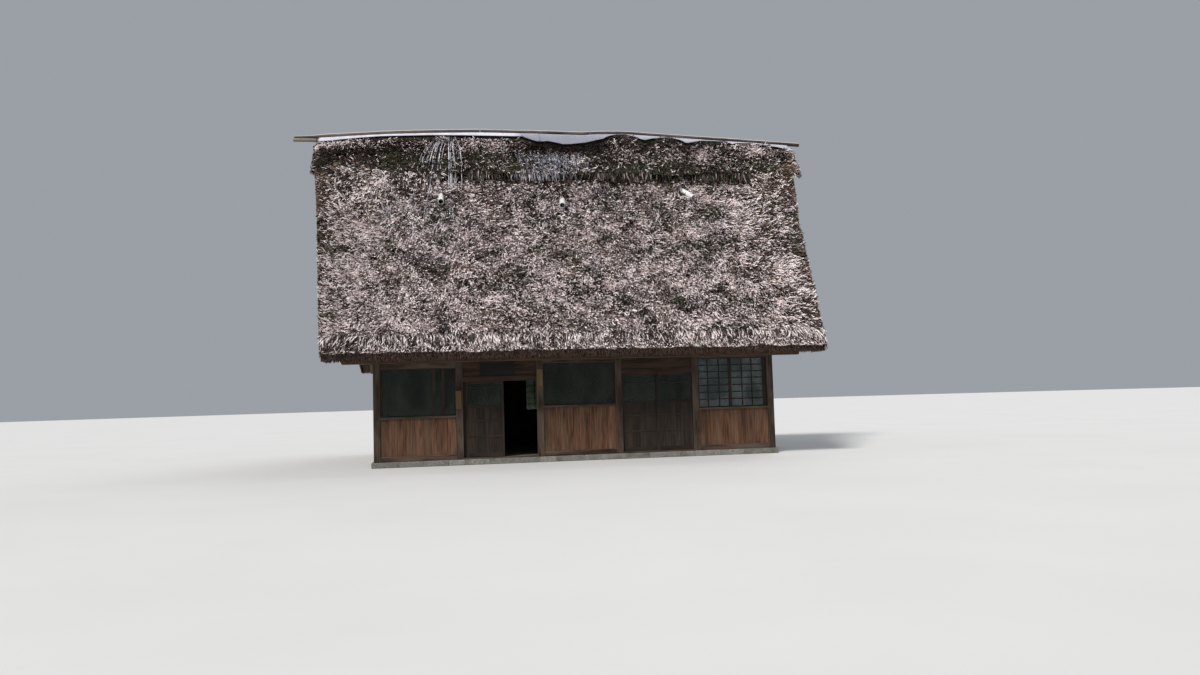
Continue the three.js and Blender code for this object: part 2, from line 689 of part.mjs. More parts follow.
// The metal sheet, with a wavy edge. Where its edge crosses the shoulder of the cap it has a place of its
// own, so that it bends there and not through the cap.
function sheetPlaces() {
  const places = SHEET_EDGE.map(([x]) => x);
  for (let index = 1; index < SHEET_EDGE.length; index++) {
    const [from, edge] = SHEET_EDGE[index - 1];
    const [to, nextEdge] = SHEET_EDGE[index];
    if ((edge - CREST_SHOULDER) * (nextEdge - CREST_SHOULDER) < 0) {
      places.push(THREE.MathUtils.mapLinear(CREST_SHOULDER, edge, nextEdge, from, to));
    }
  }
  return stationsAlong([places[0], SHEET_EDGE[SHEET_EDGE.length - 1][0]], places);
}

function ridgeSheet() {
  const fold = 8; // the last bend stays this far inside the edge
  const row = (x, lift) => {
    const edge = readTable(SHEET_EDGE, x);
    const bend = Math.min(CREST_SHOULDER, edge - fold);
    const half = [0, CREST[1][0], bend, edge].map((y) => {
      return [y, readTable(CREST, y) + (y > 0 ? SHEET_LIFT : 0)];
    });
    return bothSides(half).map(([y, z]) => [x, y, ridgeZ(x) + z + lift]);
  };
  const places = sheetPlaces().reverse();
  const under = places.map((x) => row(x, 2 * FIT));
  const over = places.map((x) => row(x, 2 * FIT + SHEET_GAUGE));
  return sheetBetween(over, under);
}

// A pole that lies on the crest of the sheet, thinner towards its outer end
function ridgePole([thickEnd, thinEnd]) {
  const span = thickEnd < thinEnd ? [thickEnd, thinEnd] : [thinEnd, thickEnd];
  const crestLift = 3 * FIT + SHEET_GAUGE;
  const points = [];
  const places = stationsAlong(span, []);
  for (const x of places) {
    const radius = POLE_RADIUS * THREE.MathUtils.mapLinear(x, thickEnd, thinEnd, 1, POLE_TAPER);
    for (let side = 0; side < POLE_SIDES; side++) {
      const angle = (side / POLE_SIDES) * 2 * Math.PI;
      points.push(x, radius * Math.sin(angle), ridgeZ(x) + crestLift + radius * (1 - Math.cos(angle)));
    }
  }
  const faces = [];
  const at = (ring, side) => ring * POLE_SIDES + (side % POLE_SIDES);
  for (let side = 0; side < POLE_SIDES; side++) {
    for (let ring = 0; ring < places.length - 1; ring++) {
      const [a, b, c, d] = [at(ring, side), at(ring, side + 1), at(ring + 1, side + 1), at(ring + 1, side)];
      faces.push(a, b, c, a, c, d);
    }
  }
  for (let side = 1; side < POLE_SIDES - 1; side++) {
    const last = places.length - 1;
    faces.push(at(0, 0), at(0, side + 1), at(0, side));
    faces.push(at(last, 0), at(last, side), at(last, side + 1));
  }
  return surface(points, faces);
}

function addRoof(house) {
  const slopes = { front: 0, rear: Math.PI };
  for (const [side, turn] of Object.entries(slopes)) {
    piece(house, `${side}_rafters`, rafterFrame(), ROOF_WOOD).rotation.z = turn;
    piece(house, `${side}_thatch`, thatchSlope(), STRAW).rotation.z = turn;
  }
  piece(house, "ridge_thatch", ridgeCap(), OLD_STRAW);
  piece(house, "ridge_sheet", ridgeSheet(), SHEET_METAL);
  for (const [side, ends] of Object.entries(POLES)) {
    piece(house, `ridge_pole_${side}`, ridgePole(ends), POLE_WOOD);
  }
}

const house = new THREE.Group();
addGround(house);
addFront(house);
addRear(house);
addSide(house, "left", -HALF_LENGTH, -Math.PI / 2);
addSide(house, "right", HALF_LENGTH, Math.PI / 2);
addBeams(house);
addRoof(house);

export default house;
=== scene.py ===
import math

import bpy
import numpy as np
from mathutils import Matrix, Vector
from mathutils.bvhtree import BVHTree


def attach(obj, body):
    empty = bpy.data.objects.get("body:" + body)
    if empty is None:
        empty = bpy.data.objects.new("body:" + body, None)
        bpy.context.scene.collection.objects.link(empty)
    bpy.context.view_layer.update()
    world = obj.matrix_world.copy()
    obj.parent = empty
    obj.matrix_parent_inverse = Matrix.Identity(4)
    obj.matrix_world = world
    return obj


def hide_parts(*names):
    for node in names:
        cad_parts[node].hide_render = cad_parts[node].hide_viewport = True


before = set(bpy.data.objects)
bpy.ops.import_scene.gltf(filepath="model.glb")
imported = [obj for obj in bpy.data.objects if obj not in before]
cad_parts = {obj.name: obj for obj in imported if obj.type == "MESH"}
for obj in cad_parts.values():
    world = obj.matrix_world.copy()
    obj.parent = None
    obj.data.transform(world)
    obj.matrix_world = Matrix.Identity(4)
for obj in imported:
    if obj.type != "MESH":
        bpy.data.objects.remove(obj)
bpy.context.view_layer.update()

# Camera and light
# The camera stands in front of the house, a little left of its middle, and looks slightly up. A wide soft
# light comes from high in front on the left, a weaker one from behind, and a pale sky fills the rest.
CAMERA_PLACE = Vector((-2.617, -24.049, 1.403))
CAMERA_YAW, CAMERA_PITCH, CAMERA_ROLL = map(math.radians, (8.55, 3.81, -1.69))
CAMERA_LENS = 27.34

ahead = Vector((
    math.sin(CAMERA_YAW) * math.cos(CAMERA_PITCH),
    math.cos(CAMERA_YAW) * math.cos(CAMERA_PITCH),
    math.sin(CAMERA_PITCH),
))
level = Vector((math.cos(CAMERA_YAW), -math.sin(CAMERA_YAW), 0))
upright = level.cross(ahead)
camera_right = math.cos(CAMERA_ROLL) * level + math.sin(CAMERA_ROLL) * upright
camera_up = math.cos(CAMERA_ROLL) * upright - math.sin(CAMERA_ROLL) * level
camera = bpy.data.objects.new("camera", bpy.data.cameras.new("camera"))
camera.data.sensor_width = 36
camera.data.sensor_fit = "HORIZONTAL"
camera.data.lens = CAMERA_LENS
camera.data.clip_end = 500
turn = Matrix((camera_right, camera_up, -ahead)).transposed()
camera.matrix_world = Matrix.Translation(CAMERA_PLACE) @ turn.to_4x4()
bpy.context.scene.collection.objects.link(camera)
bpy.context.scene.camera = camera
bpy.context.scene.view_settings.view_transform = "Standard"


def soft_sun(name, azimuth, elevation, width, strength, tint):
    """A wide sun. Azimuth 0 is straight in front of the house, and grows to the right."""
    lamp = bpy.data.objects.new(name, bpy.data.lights.new(name, "SUN"))
    lamp.data.angle = math.radians(width)
    lamp.data.energy = strength
    lamp.data.color = tint
    around, up = math.radians(azimuth), math.radians(elevation)
    towards = Vector((math.sin(around) * math.cos(up), -math.cos(around) * math.cos(up), math.sin(up)))
    lamp.matrix_world = towards.to_track_quat("Z", "Y").to_matrix().to_4x4()
    bpy.context.scene.collection.objects.link(lamp)


soft_sun("key_light", azimuth=-36, elevation=52, width=14, strength=3.2, tint=(1.0, 0.965, 0.935))
soft_sun("back_light", azimuth=150, elevation=45, width=40, strength=0.8, tint=(0.95, 0.97, 1.0))

sky = bpy.data.worlds.new("pale_sky")
sky.use_nodes = True
sky.node_tree.nodes["Background"].inputs["Color"].default_value = (0.86, 0.92, 1.0, 1)
sky.node_tree.nodes["Background"].inputs["Strength"].default_value = 0.38
bpy.context.scene.world = sky


# Studio floor
# One wide disc of pale plaster, smooth, with faint trowel clouds.
def node_maker(tree):
    """A function that adds a node of one kind to this tree: sockets by name or number, then settings."""

    def add(kind, sockets=None, **settings):
        node = tree.nodes.new(kind)
        for name, value in settings.items():
            setattr(node, name, value)
        for key, value in (sockets or {}).items():
            if isinstance(value, bpy.types.NodeSocket):
                tree.links.new(value, node.inputs[key])
            else:
                node.inputs[key].default_value = value
        return node

    return add


def new_finish(name, roughness, metallic=0.0):
    """A new material, its shader and the maker of its other nodes."""
    made = bpy.data.materials.new(name)
    made.use_nodes = True
    shader = made.node_tree.nodes["Principled BSDF"]
    shader.inputs["Roughness"].default_value = roughness
    shader.inputs["Metallic"].default_value = metallic
    return made, shader, node_maker(made.node_tree)


def feed(shader, **sockets):
    """Links outputs to the shader's sockets, whose names are given with _ for each space."""
    for name, output in sockets.items():
        shader.id_data.links.new(output, shader.inputs[name.replace("_", " ").title()])


def opaque(rgb):
    return (*rgb, 1.0)


MIX_SHARE, MIX_FIRST, MIX_SECOND, MIXED = 0, 6, 7, 2  # the mix node's own numbers for its colour sockets


def mix(add, share, first, second):
    """Mixes two colours, each a triple or an output."""
    sides = [side if isinstance(side, bpy.types.NodeSocket) else opaque(side) for side in (first, second)]
    sockets = {MIX_SHARE: share, MIX_FIRST: sides[0], MIX_SECOND: sides[1]}
    return add("ShaderNodeMix", sockets, data_type="RGBA").outputs[MIXED]


def noise(add, place, scale, detail=3.0, roughness=0.55, distortion=0.0):
    sockets = {"Vector": place, "Scale": scale, "Detail": detail, "Roughness": roughness}
    return add("ShaderNodeTexNoise", {**sockets, "Distortion": distortion}).outputs["Fac"]


def object_place(add):
    return add("ShaderNodeTexCoord").outputs["Object"]


def wear(made, finish):
    """Gives a piece this one finish."""
    made.data.materials.clear()
    made.data.materials.append(finish)


FLOOR_RADIUS, FLOOR_DROP = 220, 0.002
bpy.ops.object.select_all(action="DESELECT")
bpy.ops.mesh.primitive_circle_add(
    vertices=96, radius=FLOOR_RADIUS, fill_type="NGON", location=(0, 0, -FLOOR_DROP),
)
studio_floor = bpy.context.object
studio_floor.name = "studio_floor"
bpy.ops.object.transform_apply(location=True, rotation=True, scale=True)
plaster, shader, add = new_finish("pale_plaster", 0.85)
clouds = noise(add, object_place(add), 0.35, detail=4.0)
feed(shader, base_color=mix(add, clouds, (0.56, 0.56, 0.55), (0.62, 0.62, 0.61)))
wear(studio_floor, plaster)


# Stone plinth
# A kerb of dressed field stones, most of them one to two feet long, set dry round the rammed core of the
# plinth. The node shows between them as packed earth and lime.
def ramp(add, value, stops):
    """A colour from a value, through (place, colour) stops."""
    node = add("ShaderNodeValToRGB", {"Fac": value})
    elements = node.color_ramp.elements
    while len(elements) < len(stops):
        elements.new(0.5)
    for element, (place, rgb) in zip(elements, stops):
        element.position = place
        element.color = opaque(rgb)
    return node.outputs["Color"]


def spread(add, value, low, high, to_low=0.0, to_high=1.0):
    """A value moved from one range to another and kept inside it."""
    sockets = {"From Min": low, "From Max": high, "To Min": to_low, "To Max": to_high}
    return add("ShaderNodeMapRange", {"Value": value, **sockets}).outputs["Result"]


def scaled(add, colour, share):
    """A colour made darker or lighter by this share."""
    return add("ShaderNodeVectorMath", {0: colour, "Scale": share}, operation="SCALE").outputs["Vector"]


def bumped(add, shader, height, distance, strength=1.0):
    node = add("ShaderNodeBump", {"Height": height, "Distance": distance, "Strength": strength})
    feed(shader, normal=node.outputs["Normal"])


def blocks(name, parts, finish, bevel, body="root", replaced=(), segments=2, roughen=0.0):
    """Bevelled blocks as one piece. Each part is (low corner, high corner, axis of its grain).
    Every corner of a face keeps its place in its own block, grain along Z, and a tone and a worn mark."""
    lows = np.array([np.minimum(low, high) for low, high, _ in parts], float)
    highs = np.array([np.maximum(low, high) for low, high, _ in parts], float)
    bpy.ops.object.select_all(action="DESELECT")
    for index, (low, high) in enumerate(zip(lows, highs)):
        bpy.ops.mesh.primitive_cube_add(size=1, location=(low + high) / 2, scale=high - low)
        if index == 0:
            bpy.ops.object.transform_apply(location=True, rotation=True, scale=True)
            bpy.ops.object.mode_set(mode="EDIT")
    bpy.ops.mesh.select_all(action="SELECT")
    bpy.ops.mesh.bevel(offset=bevel, segments=segments, affect="EDGES")
    if roughen:
        bpy.ops.mesh.select_all(action="SELECT")
        bpy.ops.mesh.subdivide(number_cuts=1)
        bpy.ops.transform.vertex_random(offset=roughen, seed=3)
    bpy.ops.object.mode_set(mode="OBJECT")
    made = bpy.context.object
    made.name = made.data.name = name
    mark_grain(made.data, lows, highs, [axis for _, _, axis in parts])
    wear(made, finish)
    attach(made, body)
    if replaced:
        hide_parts(*replaced)
    return made


def keep_marks(mesh, grain, marks):
    """Keeps these values for every corner of every face, for the finish to read."""
    for label, values in (("grain", grain), ("marks", marks)):
        kept = mesh.attributes.new(label, "FLOAT_VECTOR", "CORNER")
        kept.data.foreach_set("vector", values.astype(np.float32).ravel())


FLAT_FACE = 0.97  # a face that turns further off its axis is a bevel
TONE_SPREAD, GRAIN_SHIFT = 0.16, 40


def mark_grain(mesh, lows, highs, axes, facing_up=None):
    """Marks each corner with its place in its own block. Bevels are marked worn, or, when facing_up is given,
    what faces up more than so: on the logs, bleached tops that are also painted light.
    """
    chance = np.random.default_rng(len(lows) * 7 + 5)
    faces = len(mesh.polygons)
    centres, normals, totals = np.empty(faces * 3), np.empty(faces * 3), np.empty(faces, int)
    mesh.polygons.foreach_get("center", centres)
    mesh.polygons.foreach_get("normal", normals)
    mesh.polygons.foreach_get("loop_total", totals)
    centres = centres.reshape(-1, 1, 3)
    outside = np.maximum(lows - centres, centres - highs).max(-1)
    owner = np.repeat(np.abs(outside).argmin(1), totals)
    normals = normals.reshape(-1, 3)
    worn_and_lit = np.abs(normals).max(-1) < FLAT_FACE if facing_up is None else normals[:, 2] > facing_up
    is_worn_and_lit = np.repeat(worn_and_lit, totals)
    vertices = np.empty(len(mesh.loops), int)
    mesh.loops.foreach_get("vertex_index", vertices)
    places = np.empty(len(mesh.vertices) * 3)
    mesh.vertices.foreach_get("co", places)
    orders = {"x": (1, 2, 0), "y": (0, 2, 1), "z": (0, 1, 2)}
    order = np.array([orders[axis] for axis in axes])[owner]
    along = np.take_along_axis(places.reshape(-1, 3)[vertices], order, 1)
    along += chance.uniform(0, GRAIN_SHIFT, (len(lows), 3))[owner]
    tones = chance.normal(0, TONE_SPREAD, len(lows))[owner]
    keep_marks(mesh, along, np.stack([tones, is_worn_and_lit, np.zeros(len(owner))], 1))


def attribute(add, name):
    return add("ShaderNodeAttribute", attribute_name=name).outputs["Vector"]


PLINTH_TOP = 0.12
PLINTH_HALF_X, PLINTH_HALF_Y = 4.67, 3.305
KERB_DEPTH, KERB_PROUD, KERB_JOINT = 0.048, 0.008, 0.004
STONE_FOOT, STONE_UNEVEN, STONE_LENGTHS = 0.001, 0.004, (0.34, 0.66)
KERB_REST = 0.9  # less than this at the end of a side is shared by two stones
layout = np.random.default_rng(21)


def kerb_cuts(half):
    """Places of the joints along one side."""
    cuts = [-half]
    while cuts[-1] < half - KERB_REST:
        cuts.append(cuts[-1] + layout.uniform(*STONE_LENGTHS))
    return [*cuts, (cuts[-1] + half) / 2, half]


kerb = []
for facing in (-1, 1):
    outer_y, inner_y = facing * (PLINTH_HALF_Y + KERB_PROUD), facing * (PLINTH_HALF_Y - KERB_DEPTH)
    cuts = kerb_cuts(PLINTH_HALF_X + KERB_PROUD)
    for start, end in zip(cuts, cuts[1:]):
        top = PLINTH_TOP + layout.uniform(0, STONE_UNEVEN)
        kerb.append(((start + KERB_JOINT, outer_y, STONE_FOOT), (end - KERB_JOINT, inner_y, top), "x"))
    outer_x, inner_x = facing * (PLINTH_HALF_X + KERB_PROUD), facing * (PLINTH_HALF_X - KERB_DEPTH)
    cuts = kerb_cuts(PLINTH_HALF_Y - KERB_DEPTH)
    for start, end in zip(cuts, cuts[1:]):
        top = PLINTH_TOP + layout.uniform(0, STONE_UNEVEN)
        kerb.append(((outer_x, start + KERB_JOINT, STONE_FOOT), (inner_x, end - KERB_JOINT, top), "y"))

dressed_stone, shader, add = new_finish("dressed_stone", 0.88)
place = attribute(add, "grain")
tone = add("ShaderNodeSeparateXYZ", {0: attribute(add, "marks")}).outputs["X"]
speckle = noise(add, place, 46, detail=5.0)
cloud = noise(add, place, 3.2, detail=4.0)
grey = ramp(add, speckle, [
    (0.30, (0.085, 0.082, 0.076)), (0.52, (0.20, 0.195, 0.18)), (0.72, (0.33, 0.32, 0.30)),
])
stained = mix(add, spread(add, cloud, 0.48, 0.72, 0.0, 0.75), grey, (0.075, 0.085, 0.05))
feed(shader, base_color=scaled(add, stained, spread(add, tone, -0.5, 0.5, 0.65, 1.35)))
bumped(add, shader, speckle, 0.004, 0.8)
blocks("plinth_stones", kerb, dressed_stone, bevel=0.011, roughen=0.0022)

packed_earth, shader, add = new_finish("packed_earth", 0.95)
grit = noise(add, object_place(add), 38, detail=6.0)
damp = noise(add, object_place(add), 0.9, detail=4.0)
earth_tone = ramp(add, grit, [
    (0.3, (0.10, 0.085, 0.066)), (0.6, (0.20, 0.175, 0.14)), (0.8, (0.27, 0.245, 0.20)),
])
feed(shader, base_color=mix(add, spread(add, damp, 0.4, 0.7, 0.0, 0.5), earth_tone, (0.09, 0.075, 0.06)))
bumped(add, shader, grit, 0.003)
for name in ("stone_plinth", "floor"):
    wear(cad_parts[name], packed_earth)


# Front wall
# Sawn posts one ken apart, with a ground sill, a window sill and a head let in between them. Planks stand
# side by side between the ground sill and the window sill. All is cedar, brown with age and greyed where wet.
KEN = 1.82
WALL_HALF_LENGTH, WALL_HALF_DEPTH = 2.5 * KEN, 1.75 * KEN
HALF_POST = 0.075
POST_FOOT, POST_TOP = 0.1203, 2.3097
GROUND_SILL_TOP = 0.24
HALF_SILL, HALF_HEAD, HALF_PLANK = 0.065, 0.055, 0.045
SILL_NOSE, SILL_HEIGHT = 0.082, 0.04
SEAM = 0.0003  # between timbers of neighbouring pieces, so that no two faces share a plane


def stretched(add, place, scale):
    return add("ShaderNodeMapping", {"Vector": place, "Scale": scale}).outputs["Vector"]


def reckoned(add, operation, first, second):
    """The result of one sum on two values."""
    return add("ShaderNodeMath", {0: first, 1: second}, operation=operation).outputs["Value"]


timber_grain = bpy.data.node_groups.new("timber_grain", "ShaderNodeTree")
for label, side, kind in (
    ("Place", "INPUT", "Vector"), ("Tone", "INPUT", "Float"), ("Worn And Lit", "INPUT", "Float"),
    ("Dark", "INPUT", "Color"), ("Light", "INPUT", "Color"), ("Weathered", "INPUT", "Color"),
    ("Grey Share", "INPUT", "Float"), ("Colour", "OUTPUT", "Color"), ("Relief", "OUTPUT", "Float"),
    ("Roughness", "OUTPUT", "Float"),
):
    timber_grain.interface.new_socket(label, in_out=side, socket_type="NodeSocket" + kind)
add = node_maker(timber_grain)
given = add("NodeGroupInput").outputs
fibre = noise(add, stretched(add, given["Place"], (52, 52, 2.6)), 1.0, detail=5.0, roughness=0.6)
figure = noise(add, stretched(add, given["Place"], (15, 15, 0.8)), 1.0, detail=2.0, distortion=1.6)
checks = noise(add, stretched(add, given["Place"], (95, 95, 1.1)), 1.0, detail=2.0)
patches = noise(add, stretched(add, given["Place"], (3.4, 3.4, 1.1)), 1.0, detail=5.0)
both = reckoned(add, "ADD", fibre, figure)
wood_tone = mix(add, spread(add, both, 0.78, 1.22), given["Dark"], given["Light"])
toned = scaled(add, wood_tone, reckoned(add, "ADD", given["Tone"], 1.0))
grey_part = reckoned(add, "MULTIPLY", spread(add, patches, 0.42, 0.66), given["Grey Share"])
# Worn And Lit is edge wear on bevels and, on the logs, pale tops that are partly painted light.
worn_and_lit_part = reckoned(add, "MULTIPLY", given["Worn And Lit"], 0.55)
weathered = mix(add, reckoned(add, "MAXIMUM", grey_part, worn_and_lit_part), toned, given["Weathered"])
open_checks = spread(add, checks, 0.66, 0.72)
cracked = mix(add, open_checks, weathered, (0.006, 0.004, 0.003))
relief = reckoned(add, "SUBTRACT", fibre, open_checks)
rough = spread(add, fibre, 0.3, 0.7, 0.62, 0.86)
add("NodeGroupOutput", {"Colour": cracked, "Relief": relief, "Roughness": rough})


def timber(name, dark, light, weathered, grey_share=0.5, relief=0.0022):
    """Wood whose grain follows each block."""
    made, shader, add = new_finish(name, 0.75)
    shader.inputs["Specular IOR Level"].default_value = 0.22
    marks = add("ShaderNodeSeparateXYZ", {0: attribute(add, "marks")}).outputs
    group = add("ShaderNodeGroup", node_tree=timber_grain)
    links = made.node_tree.links
    for label, output in (("Place", attribute(add, "grain")), ("Tone", marks["X"]), ("Worn And Lit", marks["Y"])):
        links.new(output, group.inputs[label])
    for label, value in (("Dark", dark), ("Light", light), ("Weathered", weathered)):
        group.inputs[label].default_value = opaque(value)
    group.inputs["Grey Share"].default_value = grey_share
    feed(shader, base_color=group.outputs["Colour"], roughness=group.outputs["Roughness"])
    bumped(add, shader, group.outputs["Relief"], relief)
    return made


post_timber = timber(
    "post_timber", dark=(0.008, 0.005, 0.003), light=(0.068, 0.042, 0.026), weathered=(0.16, 0.122, 0.092),
)
turns = {
    "front": lambda x, y: (x, y - WALL_HALF_DEPTH),
    "rear": lambda x, y: (-x, WALL_HALF_DEPTH - y),
    "left": lambda x, y: (y - WALL_HALF_LENGTH, -x),
    "right": lambda x, y: (WALL_HALF_LENGTH - y, x),
}


def in_wall(wall, parts):
    """Blocks given in a wall's own frame, X along it and -Y outwards, placed in the house."""
    placed = []
    for low, high, axis in parts:
        if wall in ("left", "right"):
            axis = {"x": "y", "y": "x", "z": "z"}[axis]
        placed.append(((*turns[wall](*low[:2]), low[2]), (*turns[wall](*high[:2]), high[2]), axis))
    return placed


def beam(x, y, z, axis):
    """A block from its spans on each axis."""
    return (x[0], y[0], z[0]), (x[1], y[1], z[1]), axis


def post_at(x):
    return beam((x - HALF_POST, x + HALF_POST), (-HALF_POST, HALF_POST), (POST_FOOT, POST_TOP), "z")


PLANK_UNEVEN, PLANK_PROUD = 0.018, 0.0025


def planks(x, y, z, width):
    """Upright planks set tight side by side, each a little proud of or behind the next."""
    count = max(1, round((x[1] - x[0]) / width))
    cuts = np.linspace(x[0], x[1], count + 1)
    cuts[1:-1] += layout.uniform(-PLANK_UNEVEN, PLANK_UNEVEN, count - 1)
    made = []
    for start, end in zip(cuts, cuts[1:]):
        shift = layout.uniform(-PLANK_PROUD, PLANK_PROUD)
        made.append(beam((start, end), (y[0] + shift, y[1] + shift), z, "z"))
    return made


def window_wall(x, opening):
    """Ground sill, window sill and head between two posts."""
    sill, head = opening
    return [
        beam(x, (-HALF_SILL, HALF_SILL), (POST_FOOT, GROUND_SILL_TOP), "x"),
        beam(x, (-SILL_NOSE, HALF_SILL), (sill - SILL_HEIGHT, sill), "x"),
        beam(x, (-HALF_HEAD, HALF_HEAD), (head, POST_TOP), "x"),
    ]


def wainscot(x, sill, plank_width=0.185):
    """Planks from the ground sill up to the window sill."""
    return planks(x, (-HALF_PLANK, HALF_PLANK), (GROUND_SILL_TOP, sill - SILL_HEIGHT), plank_width)


def clear_of(first_post, second_post):
    return first_post + HALF_POST, second_post - HALF_POST


openings = {"left": (1.11, 2.19), "middle": (1.27, 2.24), "right": (1.11, 2.28), "plain": (1.11, 2.19)}
window_bays = {"left": 0, "middle": 2, "right": 4}
first_posts = {side: -WALL_HALF_LENGTH + bay * KEN for side, bay in window_bays.items()}
wainscot_timber = timber(
    "wainscot_timber", dark=(0.034, 0.015, 0.008), light=(0.145, 0.068, 0.036), weathered=(0.15, 0.095, 0.06),
    grey_share=0.4,
)
for side, first in first_posts.items():
    clear = clear_of(first, first + KEN)
    parts = in_wall("front", [post_at(first), post_at(first + KEN), *window_wall(clear, openings[side])])
    blocks(
        f"wall_timbers_{side}", parts, post_timber, bevel=0.005, replaced=[f"front_wall_{side}"],
    )
    parts = in_wall("front", wainscot(clear, openings[side][0]))
    blocks(f"wainscot_{side}", parts, wainscot_timber, bevel=0.004, segments=1)


# Front windows
# A fixed sash of slim bars in each window bay. The right one is two lattice sashes, side by side, and the
# left one has dark uprights where its sliding sashes meet.
sash_timber = timber(
    "sash_timber", dark=(0.008, 0.006, 0.004), light=(0.034, 0.023, 0.016), weathered=(0.07, 0.054, 0.043),
    grey_share=0.25, relief=0.001,
)
HALF_SASH, SASH_RAIL = 0.02, 0.028
BAR, BAR_DEPTH, ROW_DEPTH = 0.020, 0.016, 0.013
sashes = {
    "left": {"uprights": [(0, 0.04), (1.14, 1.22), (1.35, 1.425), (1.62, 1.67)], "bars": [], "rows": []},
    "middle": {"uprights": [(0, 0.035), (1.635, 1.67)], "bars": [], "rows": []},
    "right": {
        "uprights": [(0, 0.03), (0.745, 0.815), (1.575, 1.67)],
        "bars": [0.245, 0.515, 1.075, 1.315],
        "rows": [1.303, 1.467, 1.631, 1.795, 1.948, 2.10],
    },
    "plain": {
        "uprights": [(0, 0.04), (0.805, 0.865), (1.63, 1.67)],
        "bars": [0.295, 0.55, 1.12, 1.375],
        "rows": [1.29, 1.47, 1.65, 1.83, 2.01],
    },
}


def sash_bars(x, opening, sash):
    """Rails, uprights and bars of a sash. Its uprights and bars are counted from its left end."""
    depth, front = (-HALF_SASH, HALF_SASH), (-HALF_SASH, 0)
    uprights = sash["uprights"]
    last = len(uprights) - 1
    clear_z = (opening[0] + SASH_RAIL, opening[1] - SASH_RAIL)
    made = [
        beam((x[0] + SEAM, x[1] - SEAM), depth, (opening[0] + SEAM, clear_z[0]), "x"),
        beam((x[0] + SEAM, x[1] - SEAM), depth, (clear_z[1], opening[1] - SEAM), "x"),
    ]
    for index, (start, end) in enumerate(uprights):
        made.append(beam((x[0] + start, x[0] + end), depth if index in (0, last) else front, clear_z, "z"))
    for bar in sash["bars"]:
        made.append(beam((x[0] + bar - BAR / 2, x[0] + bar + BAR / 2), (-BAR_DEPTH, 0), clear_z, "z"))
    for row in sash["rows"]:
        row_z = (row - BAR / 2, row + BAR / 2)
        for (_, start), (end, _) in zip(uprights, uprights[1:]):
            made.append(beam((x[0] + start, x[0] + end), (-ROW_DEPTH, 0), row_z, "x"))
    return made


for side, first in first_posts.items():
    bars = sash_bars(clear_of(first, first + KEN), openings[side], sashes[side])
    blocks(
        f"sash_{side}", in_wall("front", bars), sash_timber, bevel=0.002,
        replaced=[f"front_window_{side}"], segments=1,
    )


# Window glass
# Old drawn panes with a slight wave and a film of dust that is thicker on some. They are dark green: painted
# shade of the room behind and a painted reflection of dark trees.
def window_pane(name, clean, dusty, clearness, bending):
    made, shader, add = new_finish(name, 0.05)
    shader.inputs["Transmission Weight"].default_value = clearness
    shader.inputs["IOR"].default_value = bending
    ripple = noise(add, stretched(add, object_place(add), (2.2, 2.2, 1.1)), 1.0, detail=1.0)
    film = noise(add, stretched(add, object_place(add), (2.4, 2.4, 1.2)), 1.0, detail=5.0)
    feed(
        shader,
        base_color=mix(add, spread(add, film, 0.40, 0.70), clean, dusty),
        roughness=spread(add, film, 0.4, 0.75, 0.03, 0.16),
    )
    bumped(add, shader, ripple, 0.01, 0.08)
    return made


# Both clean colours are dark green: painted shade of the room behind and a painted reflection of dark trees.
dark_pane = window_pane("window_pane", (0.030, 0.046, 0.026), (0.09, 0.115, 0.075), 0.8, 1.3)
dusty_pane = window_pane("dusty_pane", (0.07, 0.10, 0.095), (0.26, 0.30, 0.31), 0.6, 1.45)
for name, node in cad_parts.items():
    if "glass" in name:
        wear(node, dusty_pane if "right" in name and "front" in name else dark_pane)


# Doorway heads and thresholds
# A grooved lintel runs between the posts over each doorway with two planks above it. The threshold below
# carries two hardwood rails for the leaves.
board_timber = timber(
    "board_timber", dark=(0.012, 0.006, 0.003), light=(0.056, 0.030, 0.017), weathered=(0.076, 0.048, 0.032),
    grey_share=0.35,
)
HEAD_PLANKS_Y, HEAD_JOINT = (-0.045, -0.015), 0.002
HALF_GROOVE, GROOVE_DEPTH, CORE_LAP = 0.039, 0.015, 0.002  # the lintel is two cheeks on a core
TRACKS, HALF_RAIL, RAIL_Z = (-0.019, 0.019), 0.006, (0.146, 0.155)
THRESHOLD_TOP, RAIL_SHORT = 0.15, 0.001
for side, first, lintel, board in (("left", 1, 1.86, 1.97), ("right", 3, 1.95, 2.06)):
    x0, x1 = clear_of(-WALL_HALF_LENGTH + first * KEN, -WALL_HALF_LENGTH + (first + 1) * KEN)
    x = (x0 + SEAM, x1 - SEAM)
    half_core = HALF_GROOVE + CORE_LAP
    joint = (board + POST_TOP) / 2 + 0.01  # between both planks
    head = [
        beam(x, (-HALF_SILL, -HALF_GROOVE), (lintel, board), "x"),
        beam(x, (HALF_GROOVE, HALF_SILL), (lintel, board), "x"),
        beam(x, (-half_core, half_core), (lintel + GROOVE_DEPTH, board - 0.001), "x"),
        beam(x, HEAD_PLANKS_Y, (board - 0.004, joint - HEAD_JOINT), "x"),
        beam(x, HEAD_PLANKS_Y, (joint + HEAD_JOINT, POST_TOP), "x"),
    ]
    blocks(
        f"door_head_timbers_{side}", in_wall("front", head), board_timber, bevel=0.003,
        replaced=[f"door_head_{side}"],
    )
    sill = [beam(x, (-HALF_SILL, HALF_SILL), (POST_FOOT, THRESHOLD_TOP), "x")]
    for track in TRACKS:
        rail_y = (track - HALF_RAIL, track + HALF_RAIL)
        sill.append(beam((x[0] + RAIL_SHORT, x[1] - RAIL_SHORT), rail_y, RAIL_Z, "x"))
    blocks(
        f"threshold_{side}", in_wall("front", sill), post_timber, bevel=0.002,
        replaced=[f"door_threshold_{side}"], segments=1,
    )


